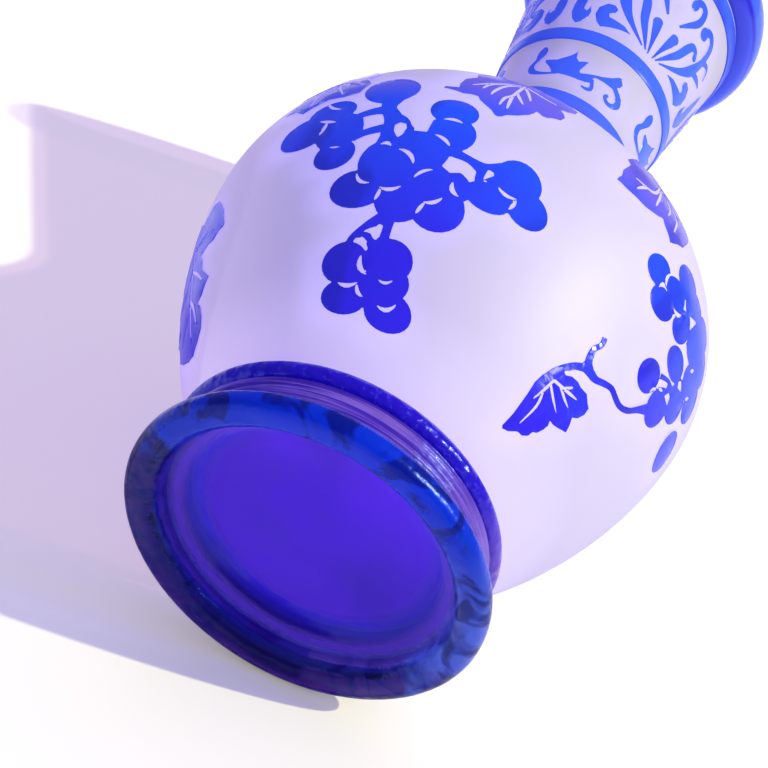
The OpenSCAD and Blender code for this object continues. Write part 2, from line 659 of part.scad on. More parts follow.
// The large leaf at the side
side_leaf_shares = [
    [0.060, 0.092], [0.055, 0.080], [0.030, 0.077], [0.000, 0.060], [-0.040, 0.065], [-0.085, 0.058],
    [-0.062, 0.025], [-0.057, -0.010], [-0.030, -0.035], [0.000, -0.065], [-0.025, -0.083], [-0.045, -0.103],
    [-0.073, -0.113], [-0.050, -0.140], [-0.042, -0.170], [-0.050, -0.205], [-0.080, -0.230], [-0.120, -0.249],
    [-0.170, -0.238], [-0.240, -0.200], [-0.290, -0.160], [-0.300, -0.100], [-0.260, -0.080], [-0.360, -0.060],
    [-0.330, 0.020], [-0.290, 0.040], [-0.400, 0.100], [-0.330, 0.160], [-0.260, 0.200], [-0.200, 0.270],
    [-0.140, 0.220], [-0.060, 0.240], [-0.020, 0.230], [0.010, 0.195], [0.035, 0.160], [0.047, 0.125]
];
side_leaf_vein_shares = [
    [[-0.170, 0.150], [-0.150, 0.050], [-0.140, -0.080], [-0.130, -0.190]],
    [[-0.148, 0.040], [-0.100, 0.000], [-0.050, -0.050]],
    [[-0.140, -0.070], [-0.110, -0.110], [-0.085, -0.170]],
    [[-0.165, 0.120], [-0.080, 0.120], [-0.010, 0.105]],
    [[-0.150, 0.050], [-0.210, 0.000], [-0.290, -0.020]],
    [[-0.140, -0.070], [-0.180, -0.110], [-0.230, -0.150]],
    [[-0.165, 0.120], [-0.240, 0.110], [-0.320, 0.100]]
];

// Neck ornaments. Their fields are as high as the zone that they stand in, and follow the neck's radius
sprig_z0 = neck_root_z + root_ring_h / 2;
sprig_z1 = neck_band_z - neck_band_h / 2;
sprig_middle_share = 0.46;
sprig_z = blend(sprig_z0, sprig_z1, sprig_middle_share);
sprig_width_share = 0.9;
sprig_field = [neck_radius(sprig_z) * sprig_width_share, sprig_z1 - sprig_z0];
sprig_leaf_shares = [
    [-0.520, 0.080], [-0.380, 0.100], [-0.255, 0.210], [-0.180, 0.316], [-0.156, 0.200], [-0.110, 0.145],
    [-0.036, 0.180], [0.018, 0.190], [-0.010, 0.090], [-0.036, 0.000], [-0.018, -0.047], [0.110, 0.010],
    [0.255, 0.073], [0.364, 0.156], [0.436, 0.240], [0.473, 0.255], [0.527, 0.180], [0.510, 0.110],
    [0.455, 0.055], [0.436, 0.000], [0.290, 0.000], [0.180, -0.011], [0.153, -0.065], [0.164, -0.127],
    [0.090, -0.164], [0.000, -0.175], [-0.145, -0.167], [-0.356, -0.164], [-0.436, -0.044], [-0.510, 0.030]
];
sprig_curl_shares = [
    [[-0.290, -0.160, 0.018], [-0.470, -0.190, 0.029], [-0.600, -0.153, 0.040], [-0.650, -0.036, 0.036],
        [-0.618, 0.090, 0.036], [-0.607, 0.200, 0.058], [-0.610, 0.290, 0.050], [-0.618, 0.350, 0.020]],
    [[0.150, -0.060, 0.033], [0.190, -0.164, 0.033], [0.193, -0.230, 0.033], [0.138, -0.260, 0.029],
        [0.065, -0.247, 0.015]],
    [[0.440, 0.050, 0.044], [0.545, -0.055, 0.047], [0.575, -0.153, 0.044], [0.530, -0.236, 0.036],
        [0.450, -0.250, 0.036], [0.400, -0.193, 0.033], [0.430, -0.135, 0.022]]
];
palmette_z0 = neck_band_z + neck_band_h / 2;
palmette_middle_share = 0.455;
palmette_z = blend(palmette_z0, rim_band_z, palmette_middle_share);
palmette_width_share = 1.448;
palmette_field = [neck_radius(palmette_z) * palmette_width_share, rim_band_z - palmette_z0];
palmette_leaf_shares = [
    [[0.022, -0.370, 0.008], [0.046, -0.240, 0.020], [0.068, -0.140, 0.034], [0.084, -0.070, 0.040]],
    [[0.050, -0.360, 0.008], [0.115, -0.240, 0.022], [0.175, -0.120, 0.032], [0.210, 0.000, 0.034],
        [0.240, 0.070, 0.030], [0.280, 0.076, 0.026], [0.300, 0.040, 0.022]],
    [[0.085, -0.350, 0.008], [0.190, -0.265, 0.018], [0.275, -0.170, 0.028], [0.340, -0.050, 0.038],
        [0.376, 0.080, 0.028], [0.386, 0.200, 0.026], [0.370, 0.290, 0.030], [0.320, 0.330, 0.032],
        [0.270, 0.304, 0.032]],
    [[0.350, -0.050, 0.020], [0.430, 0.000, 0.022], [0.490, 0.010, 0.006]],
    [[0.370, 0.080, 0.014], [0.420, 0.160, 0.018], [0.470, 0.170, 0.016], [0.490, 0.100, 0.008]],
    [[0.060, 0.060, 0.012], [0.120, 0.160, 0.024], [0.166, 0.240, 0.030], [0.180, 0.320, 0.030],
        [0.164, 0.390, 0.030], [0.116, 0.412, 0.032], [0.076, 0.380, 0.034]]
];
palmette_head_shares = [
    [0.086, -0.064, 0.042, 0.046], [0.300, 0.036, 0.026, 0.032], [0.260, 0.262, 0.044, 0.060],
    [0.074, 0.345, 0.038, 0.056]
];
petal_shares = [
    [0.190, -0.332], [0.250, -0.292], [0.320, -0.276], [0.366, -0.266], [0.376, -0.236], [0.346, -0.210],
    [0.344, -0.170], [0.376, -0.136], [0.420, -0.138], [0.448, -0.190], [0.444, -0.270], [0.412, -0.346],
    [0.376, -0.388], [0.326, -0.366], [0.260, -0.344]
];
scroll_shares = [
    [0.060, 0.120], [0.045, 0.020], [0.036, -0.100], [0.030, -0.200], [0.034, -0.278], [0.060, -0.357],
    [0.099, -0.400], [0.138, -0.376], [0.171, -0.318], [0.176, -0.259], [0.157, -0.196], [0.141, -0.253],
    [0.115, -0.230], [0.118, -0.160], [0.108, -0.100], [0.095, -0.020], [0.082, 0.060]
];

// Cuts a drawing out of the neck's casing between two heights
module left_on_neck(azimuth, z, z0, z1) {
    color(cobalt)
        intersection() {
            casing_between(z0, z1);
            rotate([0, 0, azimuth])
                translate([0, 0, z])
                    rotate([90, 0, 0])
                        linear_extrude(neck_top_d)
                            offset(delta = edge_bleed)
                                children();
        }
}
module sprig(azimuth) {
    left_on_neck(azimuth, sprig_z, sprig_z0, sprig_z1) {
        patches(sprig_field, [sprig_leaf_shares]);
        ribbons(sprig_field, sprig_curl_shares);
    }
}
module palmette(azimuth) {
    left_on_neck(azimuth, palmette_z, palmette_z0, rim_band_z)
        both_sides() {
            ribbons(palmette_field, palmette_leaf_shares);
            ovals(palmette_field, palmette_head_shares);
            patches(palmette_field, [petal_shares]);
        }
}
module scroll_pair(azimuth) {
    left_on_neck(azimuth, palmette_z, palmette_z0, rim_band_z)
        both_sides()
            patches(palmette_field, [scroll_shares]);
}

// One piece of the vine, in the group at the front (0) or at the back (1)
module vine_part(name, index) {
    azimuth = bunch_azimuth + group_turn * index;
    if (name == "bunch")
        main_bunch(azimuth);
    if (name == "side_bunch")
        side_bunch(azimuth + side_bunch_turn);
    if (name == "lone_grape")
        lone_grape(azimuth + side_bunch_turn);
    if (name == "leaf_left")
        leaf(azimuth + leaf_left_turn, leaf_z, leaf_left_shares, leaf_left_vein_shares);
    if (name == "leaf_right")
        leaf(azimuth + leaf_right_turn, leaf_z, leaf_right_shares, leaf_right_vein_shares);
    if (name == "leaf_far_left")
        leaf(azimuth, vine_z, leaf_far_left_shares, leaf_far_left_vein_shares);
    if (name == "side_leaf")
        leaf(azimuth + side_leaf_turn, side_leaf_z, side_leaf_shares, side_leaf_vein_shares);
}

clear_body();
foot();
collar();
neck_root_ring();
neck_band();
rim_band();
rim_ring();
vine_part("bunch", 0);  // front_bunch
vine_part("side_bunch", 0);  // front_side_bunch
vine_part("lone_grape", 0);  // front_lone_grape
vine_part("leaf_left", 0);  // front_leaf_left
vine_part("leaf_right", 0);  // front_leaf_right
vine_part("leaf_far_left", 0);  // front_leaf_far_left
vine_part("side_leaf", 0);  // front_side_leaf
vine_part("bunch", 1);  // back_bunch
vine_part("side_bunch", 1);  // back_side_bunch
vine_part("lone_grape", 1);  // back_lone_grape
vine_part("leaf_left", 1);  // back_leaf_left
vine_part("leaf_right", 1);  // back_leaf_right
vine_part("leaf_far_left", 1);  // back_leaf_far_left
sprig(sprig_azimuth);  // neck_sprig_1
sprig(sprig_azimuth + sprig_turn);  // neck_sprig_2
sprig(sprig_azimuth + 2 * sprig_turn);  // neck_sprig_3
sprig(sprig_azimuth + 3 * sprig_turn);  // neck_sprig_4
palmette(palmette_azimuth);  // palmette_1
palmette(palmette_azimuth + palmette_turn);  // palmette_2
palmette(palmette_azimuth + 2 * palmette_turn);  // palmette_3
scroll_pair(palmette_azimuth + palmette_turn / 2);  // scroll_pair_1
scroll_pair(palmette_azimuth + palmette_turn * 3 / 2);  // scroll_pair_2
scroll_pair(palmette_azimuth + palmette_turn * 5 / 2);  // scroll_pair_3
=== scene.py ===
"""Glass vase: the looks of a frosted globe cased in blue, on a cobalt foot, under a plain studio light.

Sizes are in metres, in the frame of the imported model: +Z is up the vase, the origin is the middle of
the foot's underside, and the front of the vase faces -Y. The vase lies on its foot and its globe, so
the floor is a slanted plane in this frame.
"""

import json
import math

import bpy
from mathutils import Matrix, Vector
from mathutils.kdtree import KDTree

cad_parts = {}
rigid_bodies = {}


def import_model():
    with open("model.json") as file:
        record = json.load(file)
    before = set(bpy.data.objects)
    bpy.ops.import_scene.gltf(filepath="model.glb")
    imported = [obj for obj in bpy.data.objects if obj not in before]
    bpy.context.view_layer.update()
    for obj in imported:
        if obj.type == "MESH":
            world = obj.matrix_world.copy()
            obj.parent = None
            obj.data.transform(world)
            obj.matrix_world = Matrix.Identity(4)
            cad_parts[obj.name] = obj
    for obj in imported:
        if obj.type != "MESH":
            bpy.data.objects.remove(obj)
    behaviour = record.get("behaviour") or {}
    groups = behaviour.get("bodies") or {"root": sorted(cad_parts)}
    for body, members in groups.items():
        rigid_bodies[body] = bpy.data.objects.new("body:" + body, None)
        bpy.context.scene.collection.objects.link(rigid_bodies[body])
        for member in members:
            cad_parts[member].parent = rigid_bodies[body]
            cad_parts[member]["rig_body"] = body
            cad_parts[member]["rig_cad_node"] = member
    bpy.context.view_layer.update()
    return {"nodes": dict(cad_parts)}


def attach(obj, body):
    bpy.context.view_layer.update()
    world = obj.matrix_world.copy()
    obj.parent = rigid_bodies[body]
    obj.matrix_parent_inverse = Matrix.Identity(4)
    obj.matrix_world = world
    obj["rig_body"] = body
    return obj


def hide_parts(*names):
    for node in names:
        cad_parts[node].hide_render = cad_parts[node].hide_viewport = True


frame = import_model()

bl_info = {
    "name": "Glass Vase",
    "version": (1, 0, 0),
    "blender": (4, 5, 0),
    "location": "View3D > Sidebar > Vase",
    "description": "Models a frosted glass vase with a blue casing, foot and rim",
    "category": "Object",
}

BODY = "root"

VINE_NODES = [
    "front_bunch", "front_side_bunch", "front_lone_grape",
    "front_leaf_left", "front_leaf_right", "front_leaf_far_left", "front_side_leaf",
    "back_bunch", "back_side_bunch", "back_lone_grape",
    "back_leaf_left", "back_leaf_right", "back_leaf_far_left",
]
NECK_NODES = (
    [f"neck_sprig_{i}" for i in range(1, 5)]
    + [f"palmette_{i}" for i in range(1, 4)]
    + [f"scroll_pair_{i}" for i in range(1, 4)]
)

# Small lengths at edges and joins

# Side of the plane that shrinks to the first point of an outline
START_SIDE = 0.001
# Points of a mesh that are nearer to each other than this become one
MERGE_DISTANCE = 2e-6
# How far rings and the collar reach into the glass under them
OVERLAP = 0.0002
# How far the foot reaches into the globe that it carries
SEAT_OVERLAP = 0.0001
# How far the collar's underside stays off the foot
COLLAR_GAP = 0.00005
# A hair's width, which tells faces apart and keeps them apart
HAIR = 0.00002
# Half the width of the rounding between the disc and its slope
DISC_EDGE = 0.0006
# Width of the rounding between the slope and the roll
ROLL_EDGE = 0.0005
# Height of both roundings
EDGE_DROP = 0.0002

# Shares of the vase's sizes

# Fullness of a curve that is an ellipse
ELLIPSE = 2
# Where the shoulder starts to turn into the neck, as a share of the shoulder's height
TURN_SHARE = 0.8
# How far the turning curve goes straight on from the shoulder and from the neck
SHOULDER_PULL = 0.36
NECK_PULL = 0.42
# Rounding of the foot's flange, as a share of its height
FLANGE_ROUNDING = 0.46
# Places along the lip, from the outer wall to the inner one
LIP_PLACES = (0.15, 0.5, 0.85)
# Share of the casing's thickness that both sides of an island draw in by, which leaves a film
CASING_DRAWN_IN = 0.55
# Shares of the casing's thickness for an island's broken edges and a ring's soft ones
CASING_BEVEL = 0.12
RING_SOFTNESS = 0.3

# The faint bloom that the blue casing and the rim share: a sheen, and an inner light that is a painted
# glow
BLUE_SHEEN_AND_PAINTED_GLOW = {
    "Sheen_Weight": 0.35,
    "Sheen_Roughness": 0.25,
    "Sheen_Tint": (0.95, 0.85, 1.0),
    "Emission_Color": (0.02, 0.08, 1.0),
    "Emission_Strength": 0.12,
}
# Tint of what the cobalt foot mirrors
COBALT_MIRROR = (0.25, 0.40, 1.0)


def length(name, description, default):
    return bpy.props.FloatProperty(
        name=name, description=description, default=default, unit="LENGTH", precision=4
    )


def colour(name, description, default):
    return bpy.props.FloatVectorProperty(
        name=name, description=description, default=default, subtype="COLOR", size=3, min=0, max=1
    )


def turn(name, description, default):
    return bpy.props.FloatProperty(
        name=name, description=description, default=math.radians(default), subtype="ANGLE"
    )


def share(name, description, default):
    return bpy.props.FloatProperty(name=name, description=description, default=default)


class VaseSizes(bpy.types.PropertyGroup):
    globe_d: length("Globe diameter", "Widest diameter of the globe", 0.158)
    belly_z: length("Belly height", "Height of the widest circle", 0.1075)
    shoulder_h: length("Shoulder height", "From the widest circle to the upper curve's pole", 0.0647)
    lower_fullness: share("Lower fullness", "Fullness of the lower curve, 2 is an ellipse", 1.65)
    neck_root_d: length("Neck root diameter", "Diameter at the middle of the root ring", 0.0526)
    neck_band_d: length("Neck band diameter", "Diameter at the middle of the neck band", 0.0602)
    neck_top_d: length("Neck top diameter", "Diameter at the lower edge of the rim band", 0.0724)
    neck_root_rise: length("Neck root rise", "From the upper curve's pole to the root ring", 0.0238)
    root_to_band: length("Root to band", "From the root ring to the neck band", 0.0306)
    band_to_rim: length("Band to rim", "From the neck band to the rim band", 0.0507)
    rim_out: length("Rim overhang", "How far the rim ring stands out from the neck", 0.0069)
    rim_band_h: length("Rim band height", "Height of the flush band under the rim ring", 0.0065)
    rim_ring_h: length("Rim ring height", "Height of the rim ring", 0.0185)
    rim_groove_h: length("Rim groove", "Width of the groove between band and ring", 0.0012)
    foot_d: length("Foot diameter", "Widest diameter of the foot", 0.108)
    foot_h: length("Foot height", "Height of the foot's flange", 0.0074)
    contact_w: length("Contact width", "Width of the flat ring that the foot stands on", 0.0031)
    roll_w: length("Roll width", "Width of the roll from the flat ring in to the recess", 0.0045)
    recess_h: length("Recess depth", "Depth of the recess at its edge", 0.0068)
    slope_w: length("Slope width", "Width of the slope from the recess's edge to its disc", 0.0048)
    disc_h: length("Disc depth", "Depth of the recess in its flat middle", 0.0086)
    waist_in: length("Waist inset", "How far the waist is set in from the flange's edge", 0.0065)
    waist_h: length("Waist height", "Height of the waist", 0.0118)
    ridge_depth: length("Ridge depth", "Depth of a ridge round the waist", 0.0005)
    ridges: bpy.props.IntProperty(name="Ridges", description="Fine ridges round the waist", default=5)
    collar_out: length("Collar overhang", "How far the bead stands out from the globe", 0.0103)
    collar_h: length("Collar height", "Height of the bead where the globe starts", 0.006)
    wall: length("Wall", "Wall of the clear glass", 0.004)
    casing: length("Casing", "Thickness of the blue casing", 0.0006)
    inner_floor_z: length("Inner floor", "Height of the inside floor", 0.027)
    clear_floor_z: length("Outer floor", "Height of the clear glass's underside", 0.015)
    root_ring_h: length("Root ring height", "Height of the ring at the neck's root", 0.005)
    neck_band_h: length("Neck band height", "Height of the band round the neck", 0.0056)


class VaseFinish(bpy.types.PropertyGroup):
    frost: colour("Frosted glass", "Colour of the etched clear glass", (0.67, 0.69, 0.66))
    frost_inside: colour("Inner light", "Light that comes through the etched glass", (0.76, 0.72, 1.0))
    # Painted shade and glow: the tint and reach of the casing's shadow through the wall, with blue light
    # round the casing
    painted_shade_tint: colour("Glow", "Blue that the casing spreads in the glass round it", (0.60, 0.57, 0.96))
    painted_shade_reach: length("Glow reach", "How far the casing's blue spreads in the glass", 0.009)
    casing_deep: colour("Deep casing", "Casing low on the globe", (0.032, 0.010, 0.74))
    casing_bright: colour("Bright casing", "Casing at the middle of the globe", (0.012, 0.095, 0.95))
    # Painted sheen: the casing on the shoulder is paler, for the bright surroundings that it mirrors at a
    # slant
    painted_shoulder_sheen: colour("Shoulder casing", "Casing on the shoulder", (0.15, 0.12, 0.76))
    casing_neck: colour("Neck casing", "Casing on the neck, and the rim", (0.05, 0.14, 0.92))
    cobalt: colour("Cobalt", "Light that passes through the foot's glass", (0.42, 0.62, 0.93))
    cobalt_density: share("Cobalt density", "How fast the foot takes up light, per metre", 550.0)


class VaseStudio(bpy.types.PropertyGroup):
    contact_azimuth: turn("Contact", "Side that the vase lies on, from the front towards +X", 165.6)
    lean: turn("Lean", "Slant of the vase's axis above the floor", 14.576)
    floor_distance: length("Floor distance", "From the origin to the floor", 0.0515088)
    floor_side: length("Floor side", "Side of the square floor", 8.0)
    sun_turn: turn("Sun's turn", "Turn of the sun on the floor from the vase's axis", -90.25)
    sun_rise: turn("Sun's rise", "Height of the sun over the floor", 37.9)
    sun_width: turn("Sun's width", "Angle that the sun fills, which softens shadows", 0.8)
    sun_distance: length("Sun's distance", "Where the sun's lamp stands in the scene", 2.0)
    sun_strength: share("Sun strength", "Strength of the sun", 2.6)
    sun_colour: colour("Sun colour", "Colour of the sun", (1.0, 0.99, 0.60))
    window_distance: length("Window distance", "Distance of the window from the vase", 1.2)
    window_side: length("Window side", "Side of the square window", 0.5)
    window_power: share("Window power", "Power of the window in watts", 11.0)
    sky_strength: share("Sky strength", "Strength of the light from all round", 0.74)
    sky_colour: colour("Sky colour", "Colour of the light from all round", (0.55, 0.49, 1.0))
    sky_level: share("Sky level", "Share of the sky's strength midway between its sides", 0.7)
    sky_overhead: share("Sky overhead", "Share that is added overhead", 0.45)
    sky_sideways: share("Sky sideways", "Share that is added on the sky's brighter side", 0.30)
    room_strength: share("Room strength", "Brightness of the room that the glass mirrors", 0.40)
    lift: share("Floor lift", "Light added to the floor where the camera sees it", 0.225)


def deselect():
    for piece in bpy.context.selected_objects:
        piece.select_set(False)
    bpy.context.view_layer.objects.active = None


def blend(a, b, t):
    return a + (b - a) * t


def steps(count):
    """Shares from nought to one, in even steps."""
    return [i / count for i in range(count + 1)]


# The outline of the vase


def full_curve(radius, height, fullness, rise):
    """Radius at a rise from the widest circle of a curve with that radius and half height."""
    return radius * max(0, 1 - min(1, abs(rise) / height) ** fullness) ** (1 / fullness)


def radius_at(outline, z):
    """Radius of a rising outline of (radius, height) points at a height."""
    for low, high in zip(outline, outline[1:]):
        if low.y <= z <= high.y and high.y > low.y:
            return blend(low.x, high.x, (z - low.y) / (high.y - low.y))
    raise ValueError(f"the outline doesn't reach the height {z}")


def arc(centre, width, height, start, end, count):
    """Points of an oval arc with half that width and height, between two angles in degrees."""
    points = []
    for t in steps(count):
        angle = math.radians(blend(start, end, t))
        points.append(Vector((centre[0] + width * math.cos(angle), centre[1] + height * math.sin(angle))))
    return points


class Outline:
    """Heights and radii of the vase's parts, and the outlines of the clear glass."""

    def __init__(self, sizes):
        self.sizes = sizes
        self.globe_r = sizes.globe_d / 2
        self.root_z = sizes.belly_z + sizes.shoulder_h + sizes.neck_root_rise
        self.band_z = self.root_z + sizes.root_to_band
        self.rim_band_z = self.band_z + sizes.band_to_rim
        self.rim_ring_z = self.rim_band_z + sizes.rim_band_h + sizes.rim_groove_h
        self.lip_z = self.rim_ring_z + sizes.rim_ring_h
        self.collar_z = sizes.foot_h + sizes.waist_h
        self.turn_z = sizes.belly_z + TURN_SHARE * sizes.shoulder_h
        self.turn_h = self.root_z - self.turn_z
        foot_r = sizes.foot_d / 2
        self.rounding = sizes.foot_h * FLANGE_ROUNDING
        self.flange_in = foot_r - self.rounding
        self.contact_r = self.flange_in - sizes.contact_w
        self.recess_r = self.contact_r - sizes.roll_w
        self.disc_r = self.recess_r - sizes.slope_w
        self.waist_r = foot_r - sizes.waist_in

    def globe(self, z):
        """Outer radius of the globe at a height."""
        sizes = self.sizes
        rise = z - sizes.belly_z
        if rise < 0:
            return full_curve(self.globe_r, sizes.belly_z, sizes.lower_fullness, rise)
        return full_curve(self.globe_r, sizes.shoulder_h, ELLIPSE, rise)

    def inside(self, z):
        """Inner radius of the globe at a height."""
        sizes = self.sizes
        rise = z - sizes.belly_z
        height = sizes.belly_z - sizes.inner_floor_z if rise < 0 else sizes.shoulder_h - sizes.wall
        return full_curve(self.globe_r - sizes.wall, height, ELLIPSE, rise)

    def neck(self, z):
        """Outer radius of the neck at a height, on a curve through its three diameters."""
        sizes = self.sizes
        root, band, rim = self.root_z, self.band_z, self.rim_band_z
        diameter = (
            sizes.neck_root_d * (z - band) * (z - rim) / ((root - band) * (root - rim))
            + sizes.neck_band_d * (z - root) * (z - rim) / ((band - root) * (band - rim))
            + sizes.neck_top_d * (z - root) * (z - band) / ((rim - root) * (rim - band))
        )
        return diameter / 2

    def bend(self, start, end, count=18):
        """The turning curve from the shoulder up into the neck, between two points."""
        near = self.turn_h / 100
        out = Vector((self.globe(self.turn_z + near) - self.globe(self.turn_z - near), 2 * near))
        into = Vector((self.neck(self.root_z + near) - self.neck(self.root_z - near), 2 * near))
        first = start + out.normalized() * self.turn_h * SHOULDER_PULL
        last = end - into.normalized() * self.turn_h * NECK_PULL
        points = []
        for t in steps(count)[1:-1]:
            u = 1 - t
            points.append(u**3 * start + 3 * t * u * u * first + 3 * t * t * u * last + t**3 * end)
        return points

    def wall_line(self, radius, floor_z, turn_z, wall, globe_count, neck_count):
        """One side of the clear glass's wall, from its floor up to the lip."""
        belly_z = self.sizes.belly_z
        quarter = [math.pi / 2 * t for t in steps(globe_count)]
        rows = [blend(floor_z, belly_z, 1 - math.cos(angle)) for angle in quarter[:-1]]
        rows += [blend(belly_z, turn_z, math.sin(angle)) for angle in quarter]
        globe = [Vector((radius(z), z)) for z in rows]
        rows = [blend(self.root_z, self.lip_z, t) for t in steps(neck_count)]
        neck = [Vector((self.neck(z) - wall, z)) for z in rows]
        return globe + self.bend(globe[-1], neck[0]) + neck

    def outer_line(self):
        return self.wall_line(self.globe, self.sizes.clear_floor_z, self.turn_z, 0, 48, 40)

    def inner_line(self):
        wall = self.sizes.wall
        turn_z = self.turn_z - wall / 2
        return self.wall_line(self.inside, self.sizes.inner_floor_z, turn_z, wall, 40, 30)


# Modelling


def turned_piece(name, outline, turns=160):
    """Draw an outline point after point in the XZ plane, then spin it once round the vase's axis."""
    start = outline[0]
    smooth_angle = math.radians(40)
    deselect()
    bpy.ops.mesh.primitive_plane_add(size=START_SIDE, location=(start.x, 0, start.y))
    piece = bpy.context.active_object
    piece.name = name
    piece.data.name = name
    bpy.ops.object.transform_apply(location=True, rotation=True, scale=True)
    bpy.ops.object.mode_set(mode="EDIT")
    bpy.ops.mesh.select_mode(type="VERT")
    bpy.ops.mesh.select_all(action="SELECT")
    bpy.ops.mesh.merge(type="CENTER")
    for here, there in zip(outline, outline[1:]):
        step = (there.x - here.x, 0, there.y - here.y)
        bpy.ops.mesh.extrude_region_move(TRANSFORM_OT_translate={"value": step})
    bpy.ops.mesh.select_all(action="SELECT")
    bpy.ops.mesh.spin(steps=turns, angle=2 * math.pi, center=(0, 0, 0), axis=(0, 0, 1))
    bpy.ops.mesh.select_all(action="SELECT")
    bpy.ops.mesh.remove_doubles(threshold=MERGE_DISTANCE)
    bpy.ops.mesh.normals_make_consistent(inside=False)
    bpy.ops.object.mode_set(mode="OBJECT")
    bpy.ops.object.shade_smooth_by_angle(angle=smooth_angle)
    return piece


def casing_piece(node, casing):
    """Copy a CAD island of casing, merge its triangles, draw it in on all sides and break its edges."""
    sharp_angle = math.radians(50)
    smooth_angle = math.radians(30)
    deselect()
    source = frame["nodes"][node]
    source.select_set(True)
    bpy.context.view_layer.objects.active = source
    bpy.ops.object.duplicate()
    piece = bpy.context.active_object
    piece.name = node + "_glass"
    piece.data.name = piece.name
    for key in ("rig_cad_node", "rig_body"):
        del piece[key]
    bpy.ops.object.parent_clear(type="CLEAR_KEEP_TRANSFORM")
    bpy.ops.object.mode_set(mode="EDIT")
    bpy.ops.mesh.select_all(action="SELECT")
    bpy.ops.mesh.remove_doubles(threshold=MERGE_DISTANCE)
    bpy.ops.mesh.normals_make_consistent(inside=False)
    bpy.ops.object.mode_set(mode="OBJECT")
    if piece.data.has_custom_normals:
        bpy.ops.mesh.customdata_custom_splitnormals_clear()
    bpy.ops.object.mode_set(mode="EDIT")
    bpy.ops.transform.shrink_fatten(value=-casing * CASING_DRAWN_IN)
    bpy.ops.object.mode_set(mode="OBJECT")
    bevel = piece.modifiers.new("Edge", "BEVEL")
    bevel.width = casing * CASING_BEVEL
    bevel.segments = 1
    bevel.limit_method = "ANGLE"
    bevel.angle_limit = sharp_angle
    bpy.ops.object.modifier_apply(modifier=bevel.name)
    bpy.ops.object.shade_smooth_by_angle(angle=smooth_angle)
    return piece


def finish_piece(piece, material, slot, *nodes):
    piece.data.materials.clear()
    piece.data.materials.append(material)
    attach(piece, BODY)
    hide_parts(*nodes)


def finish_casing(piece, slot, node, finish):
    """Finish a thin blue piece. It casts no shadow, so that light has fewer layers of glass to pass."""
    finish_piece(piece, made_once("vase_casing", casing_glass, finish), slot, node)
    piece.visible_shadow = False


def show_base(piece, vase, height):
    """Give the faces below a height the glass that shows through the foot."""
    piece.data.materials.append(made_once("vase_base", base_glass, vase))
    for face in piece.data.polygons:
        face.material_index = 1 if face.center.z < height else 0


# Materials


def made_once(name, make, *values):
    """The material of that name, which is made if it isn't there yet."""
    return bpy.data.materials.get(name) or make(*values)


